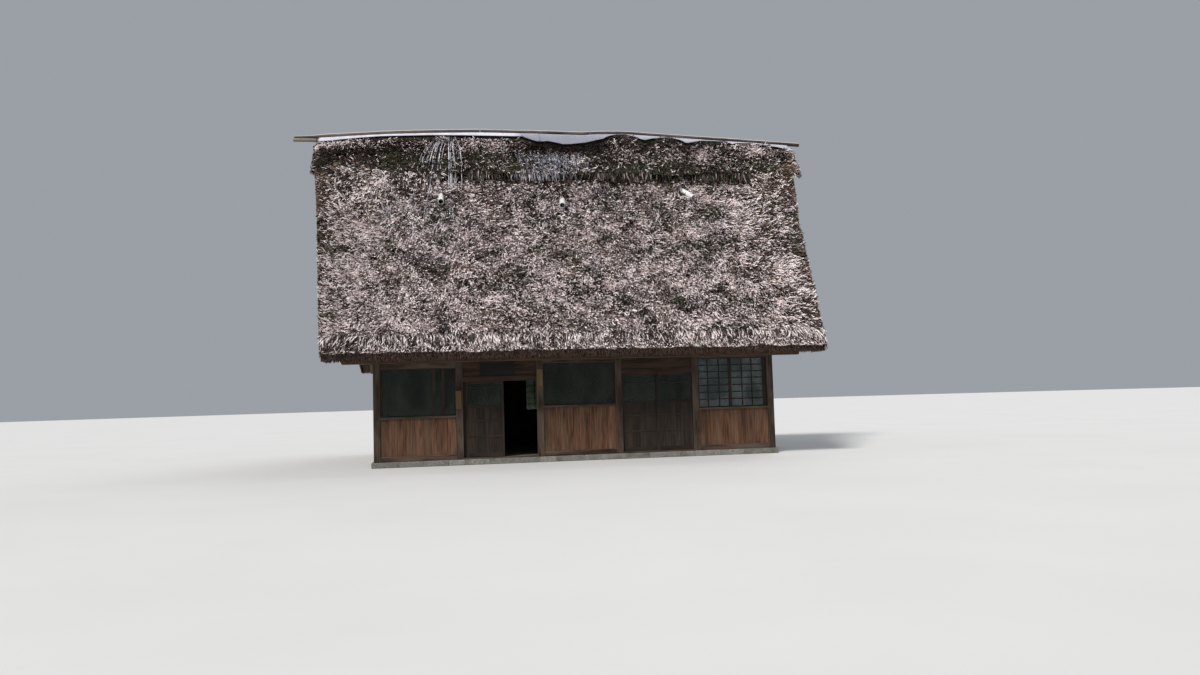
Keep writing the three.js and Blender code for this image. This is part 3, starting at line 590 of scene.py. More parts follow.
# Sliding leaves
# Each leaf is a light frame with one pane behind a glazing bar above the lock rail and thin boards below it.
# It runs on its threshold rail and in the lintel groove.
LEAF_HALF, LEAF_STILE, LEAF_FOOT, LEAF_DEPTH = 0.425, 0.045, 0.1553, 0.015
FOOT_RAIL, HEAD_RAIL, LOCK_RAIL_Z, GLAZING_BAR_Z = 0.095, 0.06, (1.262, 1.312), (1.715, 1.733)
BATTENS, HALF_BATTEN, BOARDS_DEPTH = (0.62, 0.98), 0.015, 0.006
leaves = {  # middle, track and top
    "left_doorway_left_leaf": (-2.225, TRACKS[1], 1.87), "left_doorway_right_leaf": (-2.16, TRACKS[0], 1.87),
    "right_doorway_left_leaf": (1.415, TRACKS[1], 1.96), "right_doorway_right_leaf": (2.225, TRACKS[0], 1.96),
}
for name, (centre, track, top) in leaves.items():
    x = (centre - LEAF_HALF, centre + LEAF_HALF)
    inner = (x[0] + LEAF_STILE, x[1] - LEAF_STILE)
    depth = (track - LEAF_DEPTH, track + LEAF_DEPTH)
    leaf = [
        beam((x[0], inner[0]), depth, (LEAF_FOOT, top), "z"),
        beam((inner[1], x[1]), depth, (LEAF_FOOT, top), "z"),
        beam(inner, depth, (LEAF_FOOT, LEAF_FOOT + FOOT_RAIL), "x"),
        beam(inner, depth, LOCK_RAIL_Z, "x"),
        beam(inner, depth, (top - HEAD_RAIL, top), "x"),
        beam(inner, (track - LEAF_DEPTH, track - 0.004), GLAZING_BAR_Z, "x"),
    ]
    for height in BATTENS:
        batten_z = (height - HALF_BATTEN, height + HALF_BATTEN)
        leaf.append(beam(inner, (track - 0.014, track + 0.014), batten_z, "x"))
    boards_z = (LEAF_FOOT + FOOT_RAIL - 0.005, LOCK_RAIL_Z[0] + 0.004)
    leaf += planks(inner, (track - BOARDS_DEPTH, track + BOARDS_DEPTH), boards_z, 0.19)
    blocks(
        f"{name}_frame", in_wall("front", leaf), sash_timber, bevel=0.0015, body=name,
        replaced=[name], segments=1,
    )


# Sign board and post plaques
# A black-stained board hangs bare over the open doorway, and a small plaque of pale wood is nailed to each of
# two posts. Nothing is written on them.
stained_board = timber(
    "stained_board", dark=(0.005, 0.005, 0.004), light=(0.015, 0.013, 0.012), weathered=(0.032, 0.030, 0.028),
    grey_share=0.25, relief=0.0012,
)
SIGN_X, SIGN_Z, SIGN_Y = (-2.255, -1.490), (1.976, 2.304), (-0.0733, -0.0453)
SIGN_EDGE, SIGN_SUNK, EDGE_LAP = 0.018, 0.004, 0.004  # the field lies sunk inside a raised edge
upright_z = (SIGN_Z[0] + SIGN_EDGE - EDGE_LAP, SIGN_Z[1] - SIGN_EDGE + EDGE_LAP)
sign = [
    beam(SIGN_X, (SIGN_Y[0] + SIGN_SUNK, SIGN_Y[1]), SIGN_Z, "x"),
    beam(SIGN_X, SIGN_Y, (SIGN_Z[0], SIGN_Z[0] + SIGN_EDGE), "x"),
    beam(SIGN_X, SIGN_Y, (SIGN_Z[1] - SIGN_EDGE, SIGN_Z[1]), "x"),
    beam((SIGN_X[0], SIGN_X[0] + SIGN_EDGE), SIGN_Y, upright_z, "z"),
    beam((SIGN_X[1] - SIGN_EDGE, SIGN_X[1]), SIGN_Y, upright_z, "z"),
]
blocks(
    "sign_timbers", in_wall("front", sign), stained_board, bevel=0.002,
    replaced=["sign_board"],
)
plaque_wood = timber(
    "plaque_wood", dark=(0.075, 0.045, 0.020), light=(0.17, 0.11, 0.055), weathered=(0.17, 0.125, 0.085),
    grey_share=0.3, relief=0.0008,
)
plaque_y = (-HALF_POST - 0.016, -HALF_POST - SEAM)
plaques = [
    beam((-0.975, -0.845), plaque_y, (1.72, 2.10), "z"),
    beam((-2.813, -2.690), plaque_y, (1.26, 1.66), "z"),
]
blocks("post_plaques", in_wall("front", plaques), plaque_wood, bevel=0.003)


# Rear and side walls
# The same posts and sills, planked to the eave beside one lattice window in each wall. A rail is let in
# across the planks at half height.
side_half = WALL_HALF_DEPTH - HALF_POST - SEAM
RAIL_Y, HALF_HEIGHT_Z, PLANK_WIDTH = (-0.058, -0.03), (1.21, 1.315), 0.19
SIDE_HEAD_HALF, SIDE_HEAD_Z = 3.0947, (2.305, 2.56)  # the head of a side wall runs from beam to beam
for wall, half, posts in (
    ("rear", WALL_HALF_LENGTH, [k * KEN - WALL_HALF_LENGTH for k in range(6)]),
    ("left", side_half, [-KEN / 2, KEN / 2]), ("right", side_half, [-KEN / 2, KEN / 2]),
):
    window = clear_of(-KEN / 2, KEN / 2)
    parts = [post_at(x) for x in posts] + window_wall(window, openings["plain"])
    parts += wainscot(window, openings["plain"][0])
    parts += sash_bars(window, openings["plain"], sashes["plain"])
    stops = sorted({-half, half, *posts})
    for start, end in zip(stops, stops[1:]):
        if start < 0 < end:  # the window bay
            continue
        x = (start + HALF_POST if start in posts else start, end - HALF_POST if end in posts else end)
        parts.append(beam(x, (-HALF_SILL, HALF_SILL), (POST_FOOT, GROUND_SILL_TOP), "x"))
        parts.append(beam(x, RAIL_Y, HALF_HEIGHT_Z, "x"))
        parts += planks(x, (-HALF_PLANK, HALF_PLANK), (GROUND_SILL_TOP, POST_TOP), PLANK_WIDTH)
    if wall != "rear":
        head_x = (-SIDE_HEAD_HALF, SIDE_HEAD_HALF)
        parts.append(beam(head_x, (-HALF_POST, HALF_POST), SIDE_HEAD_Z, "x"))
    blocks(
        f"{wall}_wall_timbers", in_wall(wall, parts), post_timber, bevel=0.004,
        replaced=[f"{wall}_wall"], segments=1,
    )


# Eave beams and tie beams
# Long squared logs lie on the posts and run on past the gables. Four beams cross the house on them.
beam_timber = timber(
    "beam_timber", dark=(0.022, 0.012, 0.006), light=(0.090, 0.054, 0.028), weathered=(0.108, 0.076, 0.046),
    grey_share=0.45, relief=0.004,
)
roof_timber = timber(
    "roof_timber", dark=(0.030, 0.020, 0.013), light=(0.105, 0.075, 0.053), weathered=(0.15, 0.125, 0.10),
    grey_share=0.35, relief=0.003,
)
BEAM_HALF_LENGTH, HALF_BEAM, BEAM_FOOT, BEAM_TOP = 5.3, 0.09, 2.31, 2.56
TIE_HALF_LENGTH, HALF_TIE, TIE_TOP, LOG_BEVEL = 3.275, 0.075, 2.76, 0.014
for side, y in (("front", -WALL_HALF_DEPTH), ("rear", WALL_HALF_DEPTH)):
    x, beam_y = (-BEAM_HALF_LENGTH, BEAM_HALF_LENGTH), (y - HALF_BEAM, y + HALF_BEAM)
    log = beam(x, beam_y, (BEAM_FOOT, BEAM_TOP), "x")
    blocks(
        f"{side}_eave_log", [log], beam_timber, bevel=LOG_BEVEL, replaced=[f"{side}_eave_beam"],
    )
inner_ties = range(1, 5)
ties = []
for index in inner_ties:
    x = index * KEN - WALL_HALF_LENGTH
    tie_z = (BEAM_TOP + SEAM, TIE_TOP)
    ties.append(beam((x - HALF_TIE, x + HALF_TIE), (-TIE_HALF_LENGTH, TIE_HALF_LENGTH), tie_z, "y"))
tie_nodes = [f"tie_beam_{index}" for index in inner_ties]
blocks("tie_logs", ties, roof_timber, bevel=LOG_BEVEL, replaced=tie_nodes)


# Rafters and purlins
# Pole rafters one half ken apart lean together at the ridge, with purlins lashed across them to carry the
# reeds. Each piece is a copy of its node with a grain along every timber.
MERGE_REACH, FLAT_WITHIN = 0.0001, math.radians(2)
POLE_TONE_SPREAD = 0.12


def take_up(made):
    """Selects this piece alone, as the one to work on."""
    bpy.ops.object.select_all(action="DESELECT")
    bpy.context.view_layer.objects.active = made
    made.select_set(True)


def merged_copy(name, node_name):
    """A copy of a node with its loose triangles merged, left selected all over in edit mode."""
    made = bpy.data.objects.new(name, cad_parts[node_name].data.copy())
    bpy.context.scene.collection.objects.link(made)
    take_up(made)
    bpy.ops.object.mode_set(mode="EDIT")
    bpy.ops.mesh.select_all(action="SELECT")
    bpy.ops.mesh.remove_doubles(threshold=MERGE_REACH)
    return made


def grain_along_edges(mesh):
    """Gives every face a grain along its longest edge."""
    grain = np.empty((len(mesh.loops), 3))
    tone = np.empty(len(mesh.loops))
    tones = np.random.default_rng(4).normal(0, POLE_TONE_SPREAD, len(mesh.polygons))
    for face in mesh.polygons:
        corners = np.array([mesh.vertices[index].co for index in face.vertices])
        edges = np.roll(corners, -1, 0) - corners
        along = edges[np.linalg.norm(edges, axis=1).argmax()]
        along /= np.linalg.norm(along)
        normal = np.array(face.normal)
        across = np.cross(normal, along)
        loops = slice(face.loop_start, face.loop_start + face.loop_total)
        grain[loops] = np.stack([corners @ across, corners @ normal, corners @ along], 1)
        tone[loops] = tones[face.index]
    keep_marks(mesh, grain, np.stack([tone, tone * 0, tone * 0], 1))


for side in ("front", "rear"):
    made = merged_copy(f"{side}_rafter_poles", f"{side}_rafters")
    bpy.ops.mesh.dissolve_limited(angle_limit=FLAT_WITHIN)
    bpy.ops.object.mode_set(mode="OBJECT")
    grain_along_edges(made.data)
    wear(made, roof_timber)
    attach(made, "root")
    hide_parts(f"{side}_rafters")


# Gables
# Upright boards stand on the end tie beam and are cut to the slope of the rafters, with short boards between
# the rafters above them. A vent with upright bars lets the hearth smoke out.
def cut_away(made, place, normal):
    """Cuts a piece with a plane and closes it. What the normal points to goes."""
    take_up(made)
    bpy.ops.object.mode_set(mode="EDIT")
    bpy.ops.mesh.select_all(action="SELECT")
    bpy.ops.mesh.bisect(plane_co=place, plane_no=normal, use_fill=True, clear_outer=True)
    bpy.ops.object.mode_set(mode="OBJECT")


SLOPE = math.radians(54)
GABLE_HALF, GABLE_PLANK, HALF_GABLE_BOARD, HALF_SHORT_BOARD = 3.1, 0.2, 0.03, 0.028
VENT_HALF, VENT_Z, VENT_BARS = 0.6, (3.6, 4.4), 8
VENT_FRAME, VENT_DEPTH, HALF_VENT_BAR = 0.03, 0.042, 0.02
LINING_AT_WALL, LINING_PEAK = 3.035, 7.40  # the straw's underside over the wall and at the ridge
gable_peak = BEAM_TOP + WALL_HALF_DEPTH * math.tan(SLOPE) - 0.12
for wall in ("left", "right"):
    tie_z = (BEAM_TOP + SEAM, TIE_TOP)
    parts = [beam((-TIE_HALF_LENGTH, TIE_HALF_LENGTH), (-HALF_TIE, HALF_TIE), tie_z, "x")]
    boards_y = (-HALF_GABLE_BOARD, HALF_GABLE_BOARD)
    for board in planks((-GABLE_HALF, GABLE_HALF), boards_y, (TIE_TOP - 0.005, gable_peak), GABLE_PLANK):
        (x0, y0, z0), (x1, y1, z1), axis = board
        if min(abs(x0), abs(x1)) < VENT_HALF:
            parts.append(beam((x0, x1), (y0, y1), (z0, VENT_Z[0]), axis))
            parts.append(beam((x0, x1), (y0, y1), (VENT_Z[1], z1), axis))
        else:
            parts.append(board)
    frame_y, bar_y = (-VENT_DEPTH, VENT_DEPTH), (-HALF_VENT_BAR, HALF_VENT_BAR)
    for edge in (-VENT_HALF, VENT_HALF):
        frame_z = (VENT_Z[0] - VENT_FRAME, VENT_Z[1] + VENT_FRAME)
        parts.append(beam((edge - VENT_FRAME, edge + VENT_FRAME), frame_y, frame_z, "z"))
    for edge in VENT_Z:
        parts.append(beam((-VENT_HALF, VENT_HALF), frame_y, (edge - VENT_FRAME, edge + VENT_FRAME), "x"))
    for index in range(1, VENT_BARS):
        x = -VENT_HALF + index * 2 * VENT_HALF / VENT_BARS
        parts.append(beam((x - HALF_VENT_BAR, x + HALF_VENT_BAR), bar_y, VENT_Z, "z"))
    made = blocks(
        f"{wall}_gable_boards", in_wall(wall, parts), board_timber, bevel=0.004,
        replaced=[f"{wall}_gable"], segments=1,
    )
    for facing in (-1, 1):
        normal = (0, facing * math.sin(SLOPE), math.cos(SLOPE))
        foot = (0, facing * (WALL_HALF_DEPTH - 0.001), BEAM_TOP)
        cut_away(made, foot, normal)
    short_y = (-HALF_SHORT_BOARD, HALF_SHORT_BOARD)
    for side, facing in (("front", 1), ("rear", -1)):  # the first of the two stands in the rear half
        parts = planks(sorted((0, -facing * GABLE_HALF)), short_y, (BEAM_TOP, LINING_PEAK), GABLE_PLANK)
        if wall == "right":  # the mirror image, so that it stands in the same half as on the left
            parts = [((-high[0], *low[1:]), (-low[0], *high[1:]), axis) for low, high, axis in parts]
        made = blocks(
            f"{wall}_gable_upper_{side}", in_wall(wall, parts), board_timber, bevel=0.003,
            segments=1,
        )
        normal = Vector((0, facing * math.sin(SLOPE), math.cos(SLOPE)))
        cut_away(made, (0, facing * WALL_HALF_DEPTH, LINING_AT_WALL), normal)
        cut_away(made, (0, facing * WALL_HALF_DEPTH, BEAM_TOP), -normal)


# Thatch slopes
# Each slope is a half-metre coat of reed on the purlins, weathered to a matted grey face with moss drifts.
# The node has its outer size. The packed inside of the coat lies a little deeper, and tufts of bleached
# straw ends stand out of it all over. The inside is dark: the brown of the inner reeds, and painted shade in
# the gaps between the tufts.
EAVE_EDGE_Y, EAVE_EDGE_Z = 4.19, 2.51
VERGE_HALF, VERGE_LEAN = 5.62, 0.1196
COAT_DEPTH = 0.5

thatch_core_and_shade, shader, add = new_finish("thatch_core_and_shade", 0.95)
place = object_place(add)
reeds = noise(add, stretched(add, place, (70, 6, 6)), 1.0, detail=4.0)
blotches = noise(add, place, 2.3, detail=4.0)
# Dark reed colour: the inner reeds' brown, and painted shade in the gaps between the tufts.
reed_and_shade_colour = ramp(add, reeds, [
    (0.3, (0.012, 0.008, 0.006)), (0.52, (0.045, 0.032, 0.024)), (0.7, (0.14, 0.105, 0.08)),
])
feed(shader, base_color=mix(add, spread(add, blotches, 0.42, 0.7), reed_and_shade_colour, (0.03, 0.022, 0.016)))
bumped(add, shader, reeds, 0.01)
FLUFF = 0.034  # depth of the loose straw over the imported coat
FACING_UP = 0.2  # a normal that rises more than so is on the weather side


def packed_coat(name, node_name, finish):
    """A copy of a thatch node whose outer faces lie deeper by the depth of the loose straw."""
    made = merged_copy(name, node_name)
    bpy.ops.mesh.select_all(action="DESELECT")
    bpy.ops.object.mode_set(mode="OBJECT")
    for face in made.data.polygons:
        face.select = face.normal.z > FACING_UP
    bpy.ops.object.mode_set(mode="EDIT")
    bpy.ops.transform.shrink_fatten(value=-FLUFF)
    bpy.ops.object.mode_set(mode="OBJECT")
    wear(made, finish)
    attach(made, "root")
    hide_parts(node_name)
    return made


packed = {}
for side in ("front", "rear"):
    packed[side] = packed_coat(f"{side}_coat", f"{side}_thatch", thatch_core_and_shade)

# Straw takes its colour from its own UV map. V runs from its foot to its tip, and U is the straw's tone: dark
# to pale, then mossy, rusty, and at the far end from dark bluish to bleached.
DARKEST, PALEST = 0.01, 0.655
MOSSY, RUSTY = (0.705, 0.79), (0.845, 0.955)
DARK_BLUISH, BLEACHED = (0.975, 0.989), (0.990, 1.0)
straw_finish, shader, add = new_finish("weathered_straw", 0.8)
split = add("ShaderNodeSeparateXYZ", {0: add("ShaderNodeUVMap", uv_map="straw").outputs["UV"]})
tone_ramp = ramp(add, split.outputs["X"], [
    (0.0, (0.014, 0.008, 0.006)), (0.16, (0.048, 0.030, 0.024)), (0.34, (0.23, 0.17, 0.156)),
    (0.52, (0.69, 0.585, 0.57)), (0.66, (1.0, 0.91, 0.905)), (0.70, (0.020, 0.021, 0.010)),
    (0.80, (0.088, 0.090, 0.052)), (0.84, (0.075, 0.040, 0.028)), (0.90, (0.25, 0.165, 0.13)),
    (0.96, (0.52, 0.42, 0.33)), (0.975, (0.20, 0.205, 0.26)), (1.0, (0.93, 0.93, 1.0)),
])
# Each straw is darker over the first part from its foot: painted shade from the straw lying over it.
foot_shade = spread(add, split.outputs["Y"], 0.0, 0.45, 0.30, 1.0)
feed(shader, base_color=scaled(add, tone_ramp, foot_shade))
shader.inputs["Specular IOR Level"].default_value = 0.3

chance = np.random.default_rng(11)
X_AXIS = np.array([1.0, 0, 0])
DRIFT_CELLS, DRIFT_SHIFT = 64, 500  # the patches repeat after so many cells, and are counted from far outside


def unit(vectors):
    return vectors / np.maximum(np.linalg.norm(vectors, axis=-1, keepdims=True), 1e-9)


def drift(a, b, size, seed):
    """Smooth patches from 0 to 1 over a plane, each about this size."""
    grid = np.random.default_rng(seed).random((DRIFT_CELLS, DRIFT_CELLS))
    u, v = np.asarray(a) / size + DRIFT_SHIFT, np.asarray(b) / size + DRIFT_SHIFT
    i, j = np.floor(u).astype(int), np.floor(v).astype(int)
    s, t = u - i, v - j
    s, t = s * s * (3 - 2 * s), t * t * (3 - 2 * t)
    sides = []
    for row in (j % DRIFT_CELLS, (j + 1) % DRIFT_CELLS):
        sides.append(grid[i % DRIFT_CELLS, row] * (1 - s) + grid[(i + 1) % DRIFT_CELLS, row] * s)
    return sides[0] * (1 - t) + sides[1] * t


MAP_HALF_WIDTH = 0.006  # of a straw on its map


def ribbons(rows, half_widths, sides, tones):
    """Thin tapered ribbons through rows of points (straws, rows, 3) from foot to tip: points, loops, the
    first loop of each face, and the place of each loop on the map."""
    straws, steps = rows.shape[:2]
    left = rows[:, :-1] - sides * half_widths[:, :-1, None]
    right = rows[:, :-1] + sides * half_widths[:, :-1, None]
    points = np.concatenate([np.stack([left, right], 2).reshape(straws, -1, 3), rows[:, -1:]], 1)
    quads = [[2 * k, 2 * k + 1, 2 * k + 3, 2 * k + 2] for k in range(steps - 2)]
    corners = np.array(sum(quads, []) + [2 * steps - 4, 2 * steps - 3, 2 * steps - 2])
    starts = np.array([4 * k for k in range(steps - 1)])
    loops = (np.arange(straws)[:, None] * points.shape[1] + corners).ravel()
    face_starts = (np.arange(straws)[:, None] * len(corners) + starts).ravel()
    along = np.array([k / (steps - 1) for k in range(steps - 1) for _ in (0, 1)] + [1.0])
    along = along if steps > 2 else 1 - along
    across_straw = np.array([-1, 1] * (steps - 1) + [0.0])
    u = tones[:, None] + MAP_HALF_WIDTH * across_straw
    uv = np.stack([u, np.broadcast_to(along, u.shape)], -1)[:, corners]
    return points.reshape(-1, 3), loops, face_starts, uv.reshape(-1, 2)


def straw_piece(name, parts):
    """One piece of the scene from several sets of straws, each (rows, half widths, sides, tones)."""
    ribboned = [ribbons(*part) for part in parts]
    points, loops, face_starts, uv = [], [], [], []
    for part_points, part_loops, part_starts, part_uv in ribboned:
        loops.append(part_loops + sum(map(len, points)))
        face_starts.append(part_starts + sum(map(len, uv)))
        points.append(part_points)
        uv.append(part_uv)
    points, loops, face_starts, uv = (np.concatenate(made) for made in (points, loops, face_starts, uv))
    mesh = bpy.data.meshes.new(name)
    mesh.vertices.add(len(points))
    mesh.vertices.foreach_set("co", points.astype(np.float32).ravel())
    mesh.loops.add(len(loops))
    mesh.loops.foreach_set("vertex_index", loops.astype(np.int32))
    mesh.polygons.add(len(face_starts))
    mesh.polygons.foreach_set("loop_start", face_starts.astype(np.int32))
    mesh.update(calc_edges=True)
    for layer in ("straw", "OFBake"):
        mesh.uv_layers.new(name=layer).data.foreach_set("uv", uv.astype(np.float32).ravel())
    mesh.validate()
    made = bpy.data.objects.new(name, mesh)
    bpy.context.scene.collection.objects.link(made)
    wear(made, straw_finish)
    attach(made, "root")


def surface(piece):
    """A piece's faces, to find places on them."""
    mesh = piece.data
    return BVHTree.FromPolygons([v.co for v in mesh.vertices], [p.vertices for p in mesh.polygons])


ABOVE_ALL, DOWNWARDS = 20, Vector((0, 0, -1))


def land(tree, x, y):
    """Where these places, seen from straight above, meet a surface, and how it faces there."""
    points, normals = np.empty((len(x), 3)), np.empty((len(x), 3))
    for index, (place_x, place_y) in enumerate(zip(x, y)):
        points[index], normals[index] = tree.ray_cast(Vector((place_x, place_y, ABOVE_ALL)), DOWNWARDS)[:2]
    return points, normals


BEND_AT, ROLL = (0.4, 0.65), 0.8  # where along it a straw bends, and how far it is rolled over at most


def kinked(roots, ways, normals, length, width, lift, drop, swerve):
    """Straws of two stretches: each leaves its root at the lift angle and bends back by the drop angle."""
    count = len(roots)
    across = unit(np.cross(ways, normals))
    first = ways * np.cos(lift)[:, None] + normals * np.sin(lift)[:, None]
    bent = lift - drop
    turned = unit(ways * np.cos(swerve)[:, None] + across * np.sin(swerve)[:, None])
    second = turned * np.cos(bent)[:, None] + normals * np.sin(bent)[:, None]
    bend_at = chance.uniform(*BEND_AT, count)[:, None]
    middle = roots + first * length[:, None] * bend_at
    tips = middle + second * length[:, None] * (1 - bend_at)
    roll = chance.uniform(-ROLL, ROLL, count)[:, None]
    side_first = unit(np.cross(first, normals) * np.cos(roll) + normals * np.sin(roll))
    rows = np.stack([roots, middle, tips], 1)
    half_widths = np.stack([width * 0.5, width * 0.45, width * 0], 1)
    sides = np.stack([side_first, side_first], 1)
    return rows, half_widths, sides


def straight(roots, ways, normals, length, width, lift):
    """Straws of one stretch, as slivers that are broad at the cut tip. They run from the tip to the foot."""
    first = ways * np.cos(lift)[:, None] + normals * np.sin(lift)[:, None]
    roll = chance.uniform(-ROLL, ROLL, len(roots))[:, None]
    side = unit(np.cross(first, normals) * np.cos(roll) + normals * np.sin(roll))
    rows = np.stack([roots + first * length[:, None], roots], 1)
    return rows, np.stack([width * 0.5, width * 0], 1), side[:, None]


def straw_tones(shares, bleached, dark, pick):
    """A tone for each straw: pale or dark by chance, some of either rusty, and some of the dark ones mossy.
    The shares are of pale, mossy and rusty straws."""
    pale_share, moss_share, rust_share = shares
    count = len(pale_share)
    pale_tones, dark_tones = chance.normal(bleached, 0.04, count), chance.normal(dark, 0.07, count)
    tones = np.clip(np.where(pick[0] < pale_share, pale_tones, dark_tones), DARKEST, PALEST)
    tones = np.where(pick[1] < rust_share, chance.uniform(*RUSTY, count), tones)
    is_mossy = (pick[2] < moss_share) & (tones < 0.4)
    return np.where(is_mossy, chance.uniform(*MOSSY, count), tones)


ALIKE = 0.35  # share of straws that take their tone from their tuft


def coat(
    tree, x, y, straws, angle, shares, length, width, lift,
    gather=0.035, stray=0.3, sink=0.012, curl=0.6, bleached=0.62, dark=0.13, bent=True,
):
    """Tufts of so many straws, rooted at these places on the roof. Each points down the roof, turned by its
    angle to the right. Shares are those of straw_tones. Length, width and lift are ranges for the straws."""
    points, normals = land(tree, x, y)
    pick = np.repeat(np.arange(len(x)), straws)
    count = len(pick)
    points, normals = points[pick], normals[pick]
    across = unit(X_AXIS - normals * normals[:, :1])
    down = np.cross(across, normals)
    down *= -np.sign(down[:, 2:])
    jitter = chance.normal(0, gather, (count, 2))
    roots = points + jitter[:, :1] * across + jitter[:, 1:] * down - normals * sink
    turned = angle[pick] + chance.normal(0, stray, count)
    ways = np.cos(turned)[:, None] * down + np.sin(turned)[:, None] * across
    tuft_length = length[0] + (length[1] - length[0]) * chance.random(len(x))
    long = tuft_length[pick] * chance.uniform(0.7, 1.15, count)
    wide = chance.uniform(*width, count)
    raised = chance.uniform(*lift, len(x))[pick] + chance.normal(0, 0.12, count)
    drop = chance.uniform(0.3, 1.2, count)
    swerve = chance.normal(0, curl, len(x))[pick] + chance.normal(0, 0.25, count)
    is_alike = chance.random(count) < ALIKE
    chances = np.where(is_alike, chance.random((3, len(x)))[:, pick], chance.random((3, count)))
    tones = straw_tones([share[pick] for share in shares], bleached, dark, chances)
    if bent:
        return [*kinked(roots, ways, normals, long, wide, raised, drop, swerve), tones]
    return [*straight(roots, ways, normals, long, wide, raised), tones]


def trimmed(part, reach=0.03, eave_line=EAVE_EDGE_Z):
    """Straws kept inside the cut verges and above the cut eave: what stands past them is brought back."""
    rows = part[0]
    strays = chance.uniform(-0.02, reach, rows.shape[:1])[:, None]
    half = VERGE_HALF + VERGE_LEAN * (rows[..., 2] - EAVE_EDGE_Z) + strays
    rows[..., 0] = np.clip(rows[..., 0], -half, half)
    foot = rows[:, 0]
    broad, fine = (drift(foot[:, 0], foot[:, 1], size, seed) for size, seed in ((0.45, 31), (0.09, 32)))
    uneven = broad * 0.05 + fine * 0.03 - 0.05
    rows[..., 2] = np.maximum(rows[..., 2], eave_line + uneven[:, None] + strays * 0.5)
    return part


# Where each bamboo stake leaves the front slope, and where it points
STAKES = (
    ((-3.10, -1.18), (0.0, -0.86, -0.51), 0.46),
    ((-0.06, -1.27), (-0.10, -0.86, -0.51), 0.42),
    ((3.12, -1.03), (0.50, -0.66, -0.56), 0.46),
)


def mossiness_and_stake_shade(x, y):
    """How mossy the coat is, 0 to 1: scattered small drifts, and one below each stake, moss and painted
    shadow.
    """
    amount = (drift(x, y * 3, 0.62, 7) * 0.6 + drift(x, y * 2, 0.24, 8) * 0.4 - 0.58) * 5
    for (stake_x, stake_y), *_ in STAKES:
        amount = amount + 1.6 * np.exp(-(((x - stake_x) / 0.42) ** 2) - ((y - stake_y + 0.48) / 0.17) ** 2)
    return np.clip(amount, 0, 1)


def coat_shares(x, y, pale):
    """The shares of pale, mossy and rusty straws in each tuft of a slope: fewer pale ones in dark patches, in
    moss, by the verges, and under the lip of the cap as painted shade."""
    patch = drift(x, y * 2.2, 0.5, 5) * 0.45 + drift(x, y * 1.7, 0.16, 6) * 0.55
    moss = mossiness_and_stake_shade(x, y)
    by_verge = np.clip((np.abs(x) - 4.9) / 0.7, 0, 1)
    verge = VERGE_HALF + VERGE_LEAN * (EAVE_EDGE_Y - np.abs(y)) * math.tan(SLOPE)
    at_cut = np.clip((np.abs(x) - verge + 0.24) / 0.14, 0, 1)
    moss = np.clip(moss + 0.18 * by_verge * (x > 0), 0, 1)
    # Straw just below the cap's lip has fewer pale straws: painted shade under the lip.
    painted_lip_shade = np.clip((0.93 - np.abs(y)) / 0.06, 0, 1)
    fading = 0.27 * moss + 0.19 * by_verge + 0.25 * at_cut + 0.45 * painted_lip_shade
    pale_share = np.clip(pale + 0.07 + (patch - 0.5) * 1.2 - fading, 0.05, 0.95) * (pale > 0)
    rust_share = 0.06 + 0.20 * (drift(x, y, 0.4, 9) > 0.66) + 0.27 * at_cut
    return pale_share, 0.05 + 0.80 * moss, rust_share


def slope_places(facing, count, low_y, high_y):
    """Chance places over one slope. Facing is -1 for the front."""
    y = chance.uniform(low_y, high_y, count)
    z = EAVE_EDGE_Z + (EAVE_EDGE_Y - y) * math.tan(SLOPE)
    x = chance.uniform(-1, 1, count) * (VERGE_HALF + VERGE_LEAN * (z - EAVE_EDGE_Z) - 0.03)
    return x, facing * y


def slope_angle(x, y, straying):
    """Straw fans out to the near verge, and lies in swirls. Down at the eave it hangs straight."""
    calm = np.clip((EAVE_EDGE_Y - np.abs(y)) / 0.8, 0.15, 1)
    fan = 0.95 * np.clip((np.abs(x) - 3.4) / 2.2, 0, 1) * np.sign(x)
    swirl = (drift(x, y * 1.7, 0.75, 4) - 0.5) * 1.1 + (drift(x, y * 1.7, 0.3, 14) - 0.5) * 1.3
    return fan * (0.35 + 0.65 * calm) + calm * (swirl + chance.normal(0, straying, len(x)))


THATCHED_Y = (0.74, 4.12)  # from under the lip of the cap to the eave
for name, facing, dark_tufts, bent_tufts, sliver_tufts, breadth in (
    ("front_straw_a", -1, 3200, 6400, 15000, 1.0), ("front_straw_b", -1, 3200, 6400, 15000, 1.0),
    ("rear_straw", 1, 4000, 5000, 9000, 1.45),
):
    tree = surface(packed["front" if facing < 0 else "rear"])
    x, y = slope_places(facing, dark_tufts, *THATCHED_Y)
    # The under tufts have no pale straws: their dark is painted shade deep in the coat.
    under = coat(
        tree, x, y, 4, slope_angle(x, y, 0.5), coat_shares(x, y, 0.0), length=(0.12, 0.24),
        width=(0.022 * breadth, 0.040 * breadth), lift=(0.06, 0.4), gather=0.03, stray=0.4, sink=0.016,
    )
    x, y = slope_places(facing, bent_tufts, *THATCHED_Y)
    upper = coat(
        tree, x, y, 5, slope_angle(x, y, 0.3), coat_shares(x, y, 0.56), length=(0.12, 0.27),
        width=(0.015 * breadth, 0.028 * breadth), lift=(0.1, 0.65), gather=0.03, stray=0.25, sink=0.004,
        curl=0.7,
    )
    x, y = slope_places(facing, sliver_tufts, *THATCHED_Y)
    slivers = coat(
        tree, x, y, 4, slope_angle(x, y, 0.35), coat_shares(x, y, 0.53), length=(0.10, 0.23),
        width=(0.018 * breadth, 0.031 * breadth), lift=(0.15, 0.85), gather=0.03, stray=0.25, sink=0.0,
        bent=False,
    )
    straw_piece(name, [trimmed(under), trimmed(upper), trimmed(slivers)])


